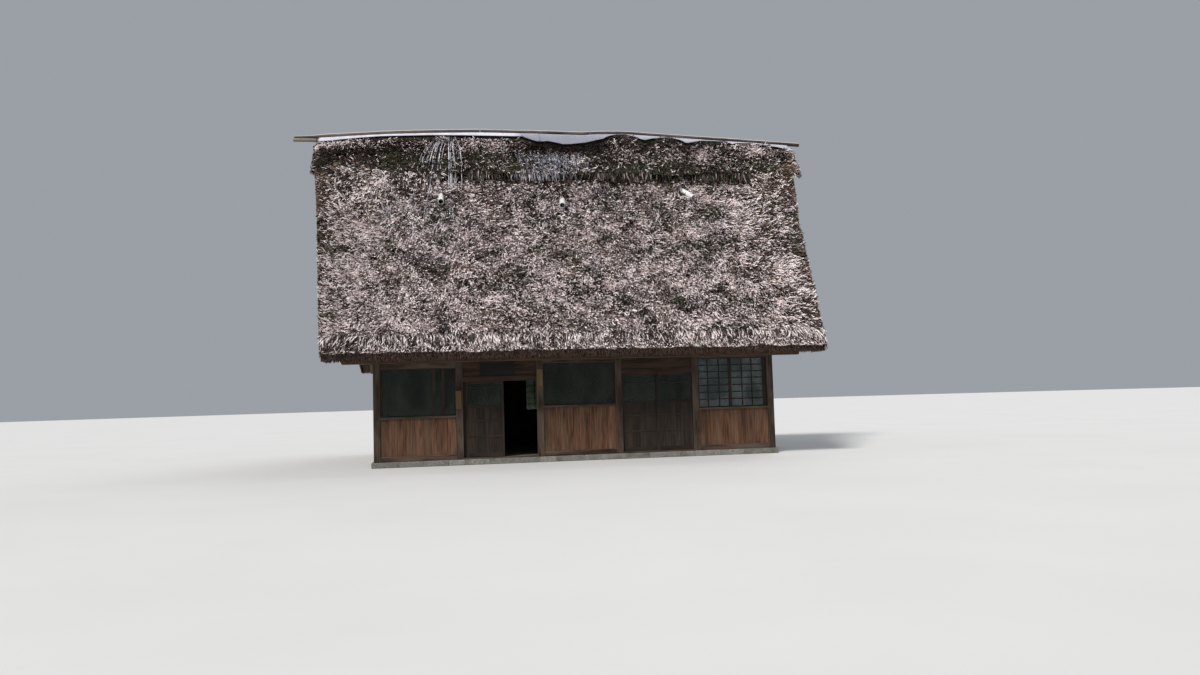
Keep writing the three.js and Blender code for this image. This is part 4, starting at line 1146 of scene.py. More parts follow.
# Eaves
# The lowest reeds end at one rough, pale line. Under it the coat is cut back, and the brown butts of its
# inner reeds show side by side down to the eave beam.
FRINGE_Y, FRINGE_Z, FRINGE_HEIGHT = 4.13, 2.56, 0.45  # its lowest roots, and how far up they reach
CUT_SHARES, CUT_Y, CUT_Z = [0, 0.45, 1], [4.17, 4.12, 3.70], [2.51, 2.385, 2.345]  # the cut face under it
FRINGE_STRAWS, BUTT_STRAWS = 8000, 7000


def hanging(roots, ways, normal, length, width, lift, drop, swerve, longer=0):
    """Straws of two stretches that lift towards one normal, with their measures drawn from these ranges."""
    count = len(roots)
    return kinked(
        roots, unit(ways), np.broadcast_to(normal, ways.shape), longer + chance.uniform(*length, count),
        chance.uniform(*width, count), chance.uniform(*lift, count), chance.uniform(*drop, count),
        chance.normal(0, swerve, count),
    )


def eave_fringe(facing, straws):
    """The rough line of the lowest straws. Those with the highest roots are the longest."""
    x = chance.uniform(-1, 1, straws) * (VERGE_HALF - 0.01)
    up = chance.uniform(0.0, FRINGE_HEIGHT, straws) ** 1.3
    out = facing * (FRINGE_Y - up * 0.45 + chance.normal(0, 0.012, straws))
    ways = np.stack([
        chance.normal(0, 0.36, straws) + 0.5 * np.clip(np.abs(x) - 4.4, 0, 1) * np.sign(x),
        facing * chance.uniform(0.25, 0.75, straws),
        -np.ones(straws),
    ], 1)
    part = hanging(
        np.stack([x, out, FRINGE_Z + up], 1), ways, np.array([0, facing * math.sin(SLOPE), math.cos(SLOPE)]),
        length=(-0.03, 0.03), width=(0.012, 0.024), lift=(0.0, 0.4), drop=(0.1, 0.7), swerve=0.2,
        longer=0.07 + up * 0.6,
    )
    clumped = 0.45 + (drift(x, up, 0.07, 33) - 0.5) * 0.8 + (drift(x, up, 0.4, 34) - 0.5) * 0.7
    shares = np.clip(clumped, 0.05, 0.95), np.full(straws, 0.08), np.full(straws, 0.05)
    return trimmed([*part, straw_tones(shares, 0.62, 0.13, chance.random((3, straws)))])


def butts(facing, straws):
    """Short straw ends on the cut face between the eave edge and the rafters' feet."""
    x = chance.uniform(-1, 1, straws) * (VERGE_HALF - 0.02)
    share = chance.uniform(0, 1, straws)
    out, height = np.interp(share, CUT_SHARES, CUT_Y), np.interp(share, CUT_SHARES, CUT_Z)
    roots = np.stack([x, facing * (out - 0.03), height + 0.045], 1)
    ways = np.stack([
        chance.normal(0, 0.12, straws), facing * chance.uniform(0.2, 0.6, straws), -np.ones(straws),
    ], 1)
    part = hanging(
        roots, ways, np.array([0, facing, 0]), length=(0.055, 0.10), width=(0.012, 0.022), lift=(0, 0.1),
        drop=(0, 0.15), swerve=0.05,
    )
    is_brown = chance.random(straws) < 0.7
    tones = np.where(is_brown, chance.uniform(0.845, 0.89, straws), chance.uniform(0.03, 0.28, straws))
    return [*part, tones]


for side, facing in (("front", -1), ("rear", 1)):
    share = 1.0 if side == "front" else 0.5
    parts = [eave_fringe(facing, round(FRINGE_STRAWS * share)), butts(facing, round(BUTT_STRAWS * share))]
    straw_piece(f"{side}_eave_straw", parts)


# Verges
# The ends of each slope are cut flush, so the reeds show there side by side, brown inside and pale at the
# face. A roll of straw lies in the ridge, where both slopes meet.
VERGE_LENGTH, VERGE_STRAWS = 6.80, 6200


def verge_straw(side_x, facing, straws):
    """Straw over one cut end of one slope, from the eave to the ridge and through the depth of the coat."""
    up = chance.uniform(0.02, VERGE_LENGTH, straws)
    depth = chance.uniform(0, 1, straws) ** 0.8 * COAT_DEPTH
    down = np.array([0, facing * math.cos(SLOPE), -math.sin(SLOPE)])
    face = np.array([0, facing * math.sin(SLOPE), math.cos(SLOPE)])
    eave_edge = np.array([0, facing * EAVE_EDGE_Y, EAVE_EDGE_Z])
    roots = eave_edge - up[:, None] * down - (depth[:, None] + 0.015) * face
    roots[:, 0] = side_x * (VERGE_HALF + VERGE_LEAN * (roots[:, 2] - EAVE_EDGE_Z) - 0.004)
    turned = chance.normal(0.10, 0.22, straws)
    ways = np.cos(turned)[:, None] * down - np.sin(turned)[:, None] * face * 0.6
    part = hanging(
        roots, ways, side_x * X_AXIS, length=(0.10, 0.26), width=(0.012, 0.024), lift=(0.03, 0.22),
        drop=(0.1, 0.35), swerve=0.15,
    )
    inner = depth / COAT_DEPTH
    is_brown = chance.random(straws) < 0.35 + 0.25 * inner
    brown = chance.uniform(0.85, 0.955, straws)
    grey = np.clip(chance.normal(0.40 - 0.22 * inner, 0.14, straws), 0.02, PALEST)
    return trimmed([*part, np.where(is_brown, brown, grey)], 0.035, EAVE_EDGE_Z - 0.13)


for label, side_x in (("left", -1), ("right", 1)):
    parts = [verge_straw(side_x, facing, VERGE_STRAWS) for facing in (-1, 1)]
    straw_piece(f"{label}_verge_straw", parts)
ROLL_Z, ROLL_SIZE = 7.70, (12.25, 0.16, 0.62)
bpy.ops.object.select_all(action="DESELECT")
bpy.ops.mesh.primitive_cube_add(size=1, location=(0, 0, ROLL_Z), scale=ROLL_SIZE)
bpy.ops.object.transform_apply(location=True, rotation=True, scale=True)
made = bpy.context.object
made.name = made.data.name = "ridge_straw_roll"
wear(made, thatch_core_and_shade)
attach(made, "root")


# Stake ends
# Bleached bamboo stakes pin the coat near the ridge. Their hollow ends stand out of the straw and point down.
bamboo, shader, add = new_finish("bleached_bamboo", 0.55)
place = object_place(add)
fibres = noise(add, stretched(add, place, (70, 12, 12)), 1.0, detail=3.0)
lichen = noise(add, place, 17, detail=3.0)
cane = mix(add, spread(add, fibres, 0.35, 0.65), (0.62, 0.63, 0.60), (0.86, 0.87, 0.85))
feed(shader, base_color=mix(add, spread(add, lichen, 0.56, 0.68, 0.0, 0.8), cane, (0.16, 0.19, 0.15)))
bumped(add, shader, fibres, 0.001)
# The inside of each cane is near black: painted shade in its hollow, mottled dark green.
hollow_shade, shader, add = new_finish("painted_hollow_shade", 0.9)
blotches = noise(add, object_place(add), 22)
feed(shader, base_color=mix(add, blotches, (0.008, 0.015, 0.012), (0.035, 0.058, 0.048)))
CANE_RADIUS, CANE_WALL, CANE_HIDDEN, HOLLOW_SHARE = 0.072, 0.013, 0.16, 0.8


def select_none(mesh):
    for part in (mesh.vertices, mesh.edges, mesh.polygons):
        part.foreach_set("select", [False] * len(part))


front_coat = surface(packed["front"])
for index, ((x, y), way, shown) in enumerate(STAKES):
    length = shown + CANE_HIDDEN
    bpy.ops.object.select_all(action="DESELECT")
    bpy.ops.mesh.primitive_cylinder_add(vertices=18, radius=CANE_RADIUS, depth=length)
    made = bpy.context.object
    made.name = made.data.name = f"stake_end_{index + 1}"
    open_end = max(made.data.polygons, key=lambda face: face.center.z)
    select_none(made.data)
    open_end.select = True
    bpy.ops.object.mode_set(mode="EDIT")
    bpy.ops.mesh.select_mode(type="FACE")
    bpy.ops.mesh.inset(thickness=CANE_WALL)
    bpy.ops.mesh.extrude_region_move(TRANSFORM_OT_translate={"value": (0, 0, -HOLLOW_SHARE * length)})
    bpy.ops.object.mode_set(mode="OBJECT")
    wear(made, bamboo)
    made.data.materials.append(hollow_shade)
    for face in made.data.polygons:
        corners = [made.data.vertices[corner].co for corner in face.vertices]
        is_inside = max(corner.xy.length for corner in corners) < CANE_RADIUS - CANE_WALL / 2
        face.material_index = int(is_inside)
    way = Vector(way).normalized()
    foot = Vector(land(front_coat, [x], [y])[0][0])
    middle = Matrix.Translation(foot + way * (length / 2 - CANE_HIDDEN))
    made.matrix_world = middle @ way.to_track_quat("Z", "Y").to_matrix().to_4x4()
    bpy.ops.object.transform_apply(location=True, rotation=True, scale=True)
    bpy.ops.object.shade_smooth_by_angle(angle=math.radians(40))
    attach(made, "root")


# Ridge cap
# An older, darker coat bent over the ridge, sunken and mossy. Its straw is cut off at the lip, which throws a
# deep shadow on the slope.
CAP_LEFT, CAP_RIGHT, CAP_HALF, LIP_Z = -6.25, 6.43, 1.0, 7.26
CAP_FALL = 1.25  # its steepness near the lip
RIDGE_LINE = [
    (-6.84, 8.240), (-6.24, 8.334), (-5.18, 8.415), (-4.41, 8.461), (-3.38, 8.504), (-2.12, 8.535),
    (-0.60, 8.526), (0.70, 8.504), (1.00, 8.533), (1.72, 8.548), (2.27, 8.520), (3.11, 8.473), (3.96, 8.427),
    (5.10, 8.363), (6.79, 8.266),
]
SHEET_EDGE = [
    (-6.20, 0.302), (-5.53, 0.273), (-4.65, 0.233), (-3.38, 0.250), (-2.10, 0.283), (-1.00, 0.282),
    (-0.84, 0.330), (-0.59, 0.403), (-0.30, 0.380), (-0.11, 0.410), (0.07, 0.446), (0.28, 0.440),
    (0.82, 0.375), (1.19, 0.320), (1.46, 0.190), (1.62, 0.152), (1.85, 0.152), (2.04, 0.230), (2.20, 0.307),
    (2.32, 0.323), (2.63, 0.247), (2.96, 0.152), (3.09, 0.152), (3.25, 0.210), (3.46, 0.328), (3.74, 0.271),
    (3.985, 0.190), (4.64, 0.152), (4.76, 0.290), (4.93, 0.211), (5.30, 0.165), (5.69, 0.204), (6.26, 0.308),
    (6.40, 0.320),
]
YOUNG_LINE = [
    (-6.2, 1.15), (-5.9, 1.05), (-5.3, 0.79), (-4.9, 0.81), (-4.5, 0.96), (-4.2, 1.2), (5.2, 1.2),
    (5.6, 0.93), (6.1, 0.74),
]


def ridge_z(x):
    return np.interp(x, *zip(*RIDGE_LINE))


def sheet_half(x):
    """Half the sheet's width."""
    return np.interp(x, *zip(*SHEET_EDGE))


# The cap's core is dark: old, mossy reed, and painted shade in the gaps between its tufts.
old_thatch_and_shade, shader, add = new_finish("old_thatch_and_shade", 0.95)
place = object_place(add)
reeds = noise(add, stretched(add, place, (60, 7, 7)), 1.0, detail=4.0)
blotches = noise(add, place, 1.8, detail=4.0)
reed_and_shade_colour = ramp(add, reeds, [
    (0.3, (0.008, 0.006, 0.005)), (0.55, (0.030, 0.024, 0.020)), (0.75, (0.10, 0.08, 0.07)),
])
feed(shader, base_color=mix(add, spread(add, blotches, 0.45, 0.65), reed_and_shade_colour, (0.022, 0.022, 0.012)))
bumped(add, shader, reeds, 0.012)
cap_surface = surface(packed_coat("cap_coat", "ridge_thatch", old_thatch_and_shade))


def drift_along(x, size, seed, row=0):
    """Smooth patches from 0 to 1 along the ridge. Each row has its own."""
    return drift(x, x * 0 + row, size, seed)


def spot(x, girth, middle, reach):
    """A soft-edged patch round a place on the cap."""
    return np.exp(-(((x - middle[0]) / reach[0]) ** 2) - ((girth - middle[1]) / reach[1]) ** 2)


def stretch_at(x, middle, reach):
    """A soft-edged stretch of the ridge."""
    return spot(x, 0, (middle, 0), (reach, 1))


def young_line(x):
    """How far out on the cap's front the young straw begins. It lies over the cap at both ends."""
    return np.interp(x, *zip(*YOUNG_LINE)) + (drift_along(x, 0.25, 57) - 0.5) * 0.10


def cap_places(facing, count, low_y, high_y):
    """Chance places on the cap, below the edge of the sheet and above the young straw."""
    x = chance.uniform(CAP_LEFT + 0.01, CAP_RIGHT - 0.01, count)
    end = np.minimum(x - CAP_LEFT, CAP_RIGHT - x)
    widest = np.interp(end, [0, 0.06, 0.17], [0.62, 0.86, 0.99])
    under_sheet = np.where((x > -6.2) & (x < 6.4), sheet_half(x) + 0.01, 0.02)
    low = np.maximum(low_y, under_sheet)
    girth = np.minimum(low + (high_y - low) * chance.random(count), widest)
    is_old = (girth < young_line(x)) | (facing > 0)
    return x[is_old], facing * girth[is_old]


def cap_ends(part):
    """Straws kept near the cap's ends, which are cut too."""
    rows = part[0]
    strays = (chance.uniform(0.0, 1.0, rows.shape[:1]) ** 3 * 0.07)[:, None]
    rows[..., 0] = np.clip(rows[..., 0], CAP_LEFT - strays, CAP_RIGHT + strays)
    return part


def flare_painted_shadow(x, girth):
    """How deep a place lies in the painted shadow of the sheet's flares, 0 to 1."""
    return np.clip((sheet_half(x) - 0.24) / 0.12, 0, 1) * (x > -1.3) * np.exp(-(((girth - 0.47) / 0.17) ** 4))


def cut_at_lip(part):
    """Straws cut off near the lip, a little unevenly, so that they leave the shadow below it open. Those
    under the sheet's flares are darkened nearly to black: painted shadow."""
    rows, widths, sides, tones = part
    x, girth = rows[:, 0, 0], np.abs(rows[:, 0, 1])
    hanging_lower = 0.07 * stretch_at(x, 0.1, 0.9)
    uneven = drift_along(x, 0.45, 58) * 0.10 + drift_along(x, 0.11, 59) * 0.08 - 0.11 - hanging_lower
    uneven += chance.normal(0, 0.012, len(x))
    rows[..., 2] = np.maximum(rows[..., 2], LIP_Z + uneven[:, None])
    bluish_share = 1.1 * spot(x, girth, (-0.35, 0.86), (0.85, 0.24)) * (np.abs(tones - 0.5) < 0.16)
    is_bluish = chance.random(len(x)) < bluish_share
    tones = np.where(is_bluish, chance.uniform(*DARK_BLUISH, len(x)), tones)
    # Dark straws under the flares are darkened further: painted shadow of the sheet.
    tones = np.where(tones < 0.66, tones * (1 - 0.9 * flare_painted_shadow(x, girth)), tones)
    return cap_ends([rows, widths, sides, tones])


LIP_SPAN, LIP_STRAWS = (-4.4, 5.9), 2600


def lip_fringe(straws):
    """Straws that hang from the lip in bunches, over its shadow."""
    x = chance.uniform(*LIP_SPAN, straws)
    thick = drift_along(x, 0.55, 65) * 0.6 + drift_along(x, 0.15, 66) * 0.4 + 0.2 * stretch_at(x, -0.2, 0.9)
    x = x[chance.random(straws) < np.clip((thick - 0.40) * 3.5, 0.10, 1)]
    straws = len(x)
    y, z = -CAP_HALF + chance.uniform(-0.01, 0.10, straws), LIP_Z + chance.uniform(0, 0.08, straws)
    ways = np.stack([
        chance.normal(0, 0.18, straws), -chance.uniform(0.0, 0.15, straws), -np.ones(straws),
    ], 1)
    part = hanging(
        np.stack([x, y, z], 1), ways, np.array([0, -1, 0]), length=(0.10, 0.36), width=(0.014, 0.026),
        lift=(0.0, 0.12), drop=(0.0, 0.3), swerve=0.25,
    )
    shares = np.full(straws, 0.18), np.full(straws, 0.45), np.full(straws, 0.05)
    tones = straw_tones(shares, 0.45, 0.12, chance.random((3, straws)))
    is_bluish = chance.random(straws) < 0.6 * stretch_at(x, -0.35, 0.85)
    return cap_ends([*part, np.where(is_bluish, chance.uniform(0.975, 0.988, straws), tones)])


BLEACHED_SPOTS = [  # share, middle and reach, each of these two along the ridge and down the cap
    (0.75, (-5.7, 0.36), (0.75, 0.07)), (0.60, (-1.8, 0.42), (0.80, 0.15)),
    (0.90, (3.80, 0.54), (0.32, 0.18)), (0.65, (5.4, 0.36), (0.6, 0.13)),
    (0.30, (2.5, 0.52), (0.9, 0.16)), (0.25, (-0.2, 0.9), (0.8, 0.30)),
    (0.55, (-6.25, 0.6), (0.12, 0.5)), (-0.25, (6.42, 0.8), (0.22, 0.4)),
]


def cap_shares(x, y):
    """Shares for dark straw with bleached spots, painted shade of a hollow at the left end, painted shadow
    under the sheet's flares and a mossy ledge by the lip.
    """
    girth = np.abs(y)
    patch = drift(x, y * 1.7, 0.3, 52) * 0.6 + drift(x, y * 1.7, 0.12, 53) * 0.4
    bleached = sum(share * spot(x, girth, middle, reach) for share, middle, reach in BLEACHED_SPOTS)
    # A darker spot at the left end: painted shade of a hollow that the cap's shape does not have.
    hollow_shade = spot(x, girth, (-5.98, 0.56), (0.22, 0.20)) * (x > -6.13)
    dark_left = spot(x, girth, (-5.3, 0.60), (0.8, 0.16))
    base = np.interp(x, [-4.2, -3.2], [0.11, 0.24])
    around_bundle = spot(x, girth, (-3.1, 0.6), (0.5, 0.3))
    pale = base + bleached + (patch - 0.5) * 0.9 - 0.8 * hollow_shade - 0.25 * dark_left - 0.12 * around_bundle
    # Fewer pale straws under the flares: painted shadow of the sheet.
    pale = np.clip(pale - 0.6 * flare_painted_shadow(x, girth), 0.01, 0.9)
    ledge = np.clip((girth - 0.58) / 0.12, 0, 1) * (1 - stretch_at(x, 0.1, 0.8)) * (x > -4.6)
    blots = drift(x, y * 1.6, 0.5, 54) * 0.6 + drift(x, y, 0.2, 55) * 0.4
    moss = np.clip((blots - 0.60) * 3 + 0.8 * ledge + 0.6 * dark_left, 0, 0.9)
    moss = moss * (1 - bleached.clip(0, 1))
    return pale * (1 - 0.85 * moss), moss, np.full(len(x), 0.04)


def cap_angle(x, straying):
    """Straw of the cap fans out to its ends too."""
    ends = np.clip((np.abs(x) - 5.0) / 1.4, 0, 1) * np.sign(x)
    return 0.9 * ends + (drift_along(x, 0.5, 56) - 0.5) * 0.8 + chance.normal(0, straying, len(x))


CAP_TOP, LIP_HEAD = 0.05, 0.93  # how far out from the ridge the straw of the cap and that of its lip begin
for side, facing, under_tufts, bent_tufts, sliver_tufts, lip_tufts in (
    ("front", -1, 2200, 3700, 5500, 1500), ("rear", 1, 1600, 2100, 2200, 700),
):
    x, y = cap_places(facing, under_tufts, CAP_TOP, CAP_HALF)
    nothing = np.zeros(len(x))
    # The under tufts have no pale straws: their dark is painted shade deep in the coat.
    under = coat(
        cap_surface, x, y, 3, cap_angle(x, 0.35), (nothing, 0.7 * cap_shares(x, y)[1], nothing),
        length=(0.12, 0.24), width=(0.022, 0.040), lift=(0.05, 0.35), gather=0.03, stray=0.4, sink=0.014,
        dark=0.06,
    )
    x, y = cap_places(facing, bent_tufts, CAP_TOP, CAP_HALF)
    upper = coat(
        cap_surface, x, y, 4, cap_angle(x, 0.35), cap_shares(x, y), length=(0.10, 0.22), width=(0.016, 0.028),
        lift=(0.08, 0.5), gather=0.022, stray=0.25, sink=0.006, bleached=0.55, dark=0.07,
    )
    x, y = cap_places(facing, sliver_tufts, CAP_TOP, CAP_HALF)
    slivers = coat(
        cap_surface, x, y, 4, cap_angle(x, 0.7), cap_shares(x, y), length=(0.08, 0.18), width=(0.020, 0.034),
        lift=(0.15, 0.8), gather=0.018, stray=0.3, sink=0.0, bleached=0.56, dark=0.07, bent=False,
    )
    x, y = cap_places(facing, lip_tufts, LIP_HEAD, CAP_HALF)
    longer = 0.09 * stretch_at(x, 0.1, 0.8)
    lip = coat(
        cap_surface, x, y, 4, 0.5 * cap_angle(x, 0.35), cap_shares(x, y),
        length=(0.05 + longer, 0.11 + longer), width=(0.016, 0.028), lift=(-0.35, 0.05), sink=0.004,
        curl=0.25, bleached=0.55, dark=0.07,
    )
    parts = [cut_at_lip(part) for part in (under, upper, slivers, lip)]
    fringe = lip_fringe(LIP_STRAWS)  # the rear draws one too, and goes without
    straw_piece(f"{side}_cap_straw", [*parts, fringe] if side == "front" else parts)


# Ends of the cap
# The cap's ends are not trimmed. Short straw stands out there over the verges, pale on the left.
CAP_END_HALF, CAP_END_REACH = 0.86, 0.075


def cap_end_straw(side_x, straws):
    y = chance.uniform(-CAP_END_HALF, CAP_END_HALF, straws)
    floor = EAVE_EDGE_Z + (EAVE_EDGE_Y - np.maximum(np.abs(y), 0.2)) * math.tan(SLOPE)
    roof = np.minimum(LIP_Z + (CAP_HALF - np.abs(y)) * CAP_FALL, ridge_z(side_x * 6.2) - 0.10)
    height = floor + 0.62 * (roof - floor) * chance.random(straws)
    edge = np.full(straws, (CAP_LEFT if side_x < 0 else CAP_RIGHT) - side_x * 0.02)
    ways = np.stack([
        side_x * chance.uniform(0.1, 0.9, straws), np.sign(y) * chance.uniform(0.2, 0.7, straws),
        -chance.uniform(0.3, 1.0, straws),
    ], 1)
    part = hanging(
        np.stack([edge, y, height], 1), ways, side_x * X_AXIS, length=(0.08, 0.17), width=(0.014, 0.026),
        lift=(0.0, 0.3), drop=(0.1, 0.5), swerve=0.3,
    )
    shares = np.full(straws, 0.45 if side_x < 0 else 0.22), np.full(straws, 0.25), np.full(straws, 0.25)
    part = [*part, straw_tones(shares, 0.58, 0.08, chance.random((3, straws)))]
    rows = part[0]
    rows[..., 0] = np.clip(rows[..., 0], CAP_LEFT - CAP_END_REACH, CAP_RIGHT + CAP_END_REACH)
    rows[..., 2] = np.maximum(rows[..., 2], LIP_Z - 0.03 + chance.normal(0, 0.02, straws)[:, None])
    return part


straw_piece("cap_end_straw", [cap_end_straw(side_x, 1500) for side_x in (-1, 1)])


# Young straw over the cap
# At both ends of the front the young straw of the slope runs on over the lip, in a hump on the left and a low
# bank on the right. A core of packed straw fills the step under the lip.
BANK_FOOT, BANK_HEAD = 0.60, 0.10  # how far it reaches beyond the lip and back over the cap
BANK_CUTS, BANK_CORE = (30, 5), (0, 0.16, -0.20)  # the core reaches in and down from its face
BANKS = {
    "left": [(-6.20, 1.0), (-4.90, 1.0), (-3.9, 0.3), (-3.1, 0.0)],
    "right": [(5.0, 0.0), (5.75, 1.0), (6.20, 1.0)],
}


def bank_reach(side, x):
    return np.interp(x, *zip(*BANKS[side]))


young_straw = []
for side, reaches in BANKS.items():
    start, end = reaches[0][0], reaches[-1][0]
    bpy.ops.object.select_all(action="DESELECT")
    bpy.ops.mesh.primitive_grid_add(x_subdivisions=BANK_CUTS[0], y_subdivisions=BANK_CUTS[1], size=2)
    made = bpy.context.object
    made.name = made.data.name = f"{side}_straw_bank"
    for vertex in made.data.vertices:
        x = start + (end - start) * (vertex.co.x + 1) / 2
        down = (1 - vertex.co.y) / 2
        reach = bank_reach(side, x)
        y = -CAP_HALF + BANK_HEAD - down * (BANK_HEAD + BANK_FOOT * reach + 0.02)
        on_cap = LIP_Z + (CAP_HALF + y) * CAP_FALL
        foot_y = CAP_HALF + BANK_FOOT * reach
        foot_z = EAVE_EDGE_Z + (EAVE_EDGE_Y - foot_y) * math.tan(SLOPE)
        past_lip = np.clip((-y - CAP_HALF) / max(foot_y - CAP_HALF, 0.02), 0, 1)
        z = (on_cap if y > -CAP_HALF else LIP_Z + (foot_z - LIP_Z) * past_lip) - FLUFF
        half = VERGE_HALF + VERGE_LEAN * (z - EAVE_EDGE_Z) - 0.01
        vertex.co = (max(-half, min(half, x)), y, z)
    bpy.ops.object.mode_set(mode="EDIT")
    bpy.ops.mesh.select_all(action="SELECT")
    bpy.ops.mesh.extrude_region_move(TRANSFORM_OT_translate={"value": BANK_CORE})
    bpy.ops.mesh.select_all(action="SELECT")
    bpy.ops.mesh.normals_make_consistent(inside=False)
    bpy.ops.object.mode_set(mode="OBJECT")
    wear(made, thatch_core_and_shade)
    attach(made, "root")
    bank_surface = surface(made)
    for tufts, straws, bent in ((1100, 5, True), (2400, 4, False)):
        x = chance.uniform(start, end, tufts)
        y = -chance.uniform(0.6, CAP_HALF + BANK_FOOT + 0.05, tufts)
        half = VERGE_HALF + VERGE_LEAN * (LIP_Z - EAVE_EDGE_Z) - 0.20 * np.clip(-y - CAP_HALF, 0, 1)
        from_line = np.minimum(young_line(x), CAP_HALF - 0.02)
        to_line = CAP_HALF + BANK_FOOT * bank_reach(side, x)
        is_there = (-y > from_line) & (-y < to_line) & (np.abs(x) < half - 0.02)
        x, y = x[is_there], y[is_there]
        pale_share, _, rust_share = coat_shares(x, y, 0.50)
        at_end = np.clip((-5.50 - x) / 0.35, 0, 1) + 0.4 * np.clip((x - 5.75) / 0.3, 0, 1)
        rust_share, pale_share = rust_share + 0.40 * at_end, pale_share * (1 - 0.65 * at_end)
        is_on_bank = -y > CAP_HALF - 0.05
        for is_on_tree, tree in ((is_on_bank, bank_surface), (~is_on_bank, cap_surface)):
            here = np.flatnonzero(is_on_tree)
            shares = pale_share[here], np.full(len(here), 0.1), rust_share[here]
            angle = slope_angle(x, y, 0.4)[here] * 1.1
            laid = coat(
                tree, x[here], y[here], straws, angle, shares, length=(0.11, 0.24), width=(0.018, 0.030),
                lift=(0.1, 0.6), gather=0.022, stray=0.25, sink=0.002, bent=bent,
            )
            young_straw.append(trimmed(laid, 0.0) if tree is bank_surface else cap_ends(laid))
straw_piece("young_straw", young_straw)


# Straw under the sheet
# Bleached ends stick out from under the sheet where it lies close to the cap, and over the cut at the right
# end, where they reach past the straw of the slope.
parts = []
for tufts, start, end in ((300, -6.24, -4.9), (70, 4.75, 5.6)):
    x = chance.uniform(start, end, tufts)
    y = -sheet_half(np.clip(x, -6.19, 6.39)) - chance.uniform(-0.03, 0.07, tufts)
    fading = np.clip((end - x) / 0.8, 0.25, 1)
    shares = 0.9 * fading, np.zeros(tufts), np.full(tufts, 0.03)
    parts.append(coat(
        cap_surface, x, y, 4, cap_angle(x, 0.5), shares, length=(0.07, 0.15), width=(0.018, 0.030),
        lift=(0.2, 0.9), gather=0.02, sink=0.0, bleached=0.65, dark=0.07,
    ))
END_TUFTS, END_REACH = 170, 0.15  # at the right end, and how far past it they reach
x = chance.uniform(6.15, 6.42, END_TUFTS)
y = -chance.uniform(0.0, 1.0, END_TUFTS) ** 1.6 * 0.75 - 0.2
parts = [cap_ends(part) for part in parts]
y *= np.interp(x, [6.26, 6.37, 6.43], [1.0, 0.86, 0.62])
shares = [np.full(END_TUFTS, share) for share in (0.72, 0.1, 0.2)]
right_end = coat(
    cap_surface, x, y, 4, 1.15 + chance.normal(0, 0.2, END_TUFTS), shares, length=(0.14, 0.30),
    width=(0.014, 0.024), lift=(0.15, 0.6), gather=0.02, sink=-0.01, dark=0.07,
)
right_end[0][..., 0] = np.minimum(right_end[0][..., 0], CAP_RIGHT + END_REACH)
straw_piece("sheet_straw", [*parts, right_end])


# Loose straws
# Long bleached straws have slipped from under the sheet and from the young coat, and lie over cap and slope.
STRAW_STEPS, SAG = 7, 3.1  # a straw's points, and the turn of the wave by which its middle lies highest


def strewn(x, y, run, slant, width, tones, lift):
    """Long straws from these places down the front of the roof, each following what it lies on."""
    rows = np.empty((len(x), STRAW_STEPS, 3))
    bend = chance.normal(0, 0.10, len(x))
    for step in range(STRAW_STEPS):
        share = step / (STRAW_STEPS - 1)
        at_x = x + run * slant * share + bend * run * share * (1 - share) * 2
        at_y = y - run * share
        rows[:, step, 0], rows[:, step, 1] = at_x, at_y
        for index in range(len(x)):
            start = Vector((at_x[index], at_y[index], ABOVE_ALL))
            hits = [tree.ray_cast(start, DOWNWARDS)[0] for tree in (cap_surface, front_coat)]
            rows[index, step, 2] = max(hit.z for hit in hits if hit is not None) if any(hits) else np.nan
        rows[:, step, 2] += lift * (0.4 + 0.6 * math.sin(share * SAG))
    lost = np.isnan(rows[..., 2]).any(1)
    rows = rows[~lost]
    ways = unit(rows[:, 1:] - rows[:, :-1])
    sides = unit(np.cross(ways, np.array([0, -0.8, 0.6])))
    widths = np.linspace(1, 0.5, STRAW_STEPS)[None] * width[~lost, None] * 0.5
    return [rows, widths, sides, tones[~lost]]


BUNDLE, LIP_HANGERS, SLID, STRAYS = 24, 170, 26, 800  # straws of each kind
LIP_REACH, LONG_LEFT = 0.955, -2.4  # how far out the hangers end, and where long strays begin
order = np.linspace(0, 1, BUNDLE)
ridge_bundle = strewn(
    -3.24 + 0.50 * order + chance.normal(0, 0.02, BUNDLE), -0.26 - chance.uniform(0, 0.06, BUNDLE),
    run=chance.uniform(0.75, 1.3, BUNDLE), slant=-0.60 + 0.75 * order + chance.normal(0, 0.08, BUNDLE),
    width=chance.uniform(0.010, 0.014, BUNDLE), tones=chance.uniform(*BLEACHED, BUNDLE),
    lift=chance.uniform(0.08, 0.14, BUNDLE),
)
start_y = chance.uniform(0.60, 0.86, LIP_HANGERS)
bluish_fringe = strewn(
    chance.uniform(-1.15, 0.6, LIP_HANGERS), -start_y,
    run=np.minimum(chance.uniform(0.15, 0.30, LIP_HANGERS), LIP_REACH - start_y),
    slant=chance.normal(0.02, 0.10, LIP_HANGERS), width=chance.uniform(0.010, 0.015, LIP_HANGERS),
    tones=chance.uniform(0.977, 0.992, LIP_HANGERS), lift=chance.uniform(0.04, 0.08, LIP_HANGERS),
)
slid = strewn(
    chance.uniform(-4.4, -2.7, SLID), -chance.uniform(0.9, 1.2, SLID), run=chance.uniform(0.7, 1.5, SLID),
    slant=chance.normal(-0.35, 0.35, SLID), width=chance.uniform(0.013, 0.019, SLID),
    tones=chance.uniform(*BLEACHED, SLID), lift=chance.uniform(0.05, 0.10, SLID),
)
x = chance.uniform(-6.0, 6.0, STRAYS)
x = np.where(chance.random(STRAYS) < 0.55, chance.uniform(-5.9, LONG_LEFT, STRAYS), x)
y = -chance.uniform(1.05, 3.6, STRAYS)
fan = 0.75 * np.clip((np.abs(x) - 3.0) / 2.2, 0, 1) * np.sign(x) - 0.5 * ((x < LONG_LEFT) & (x > -4.5))
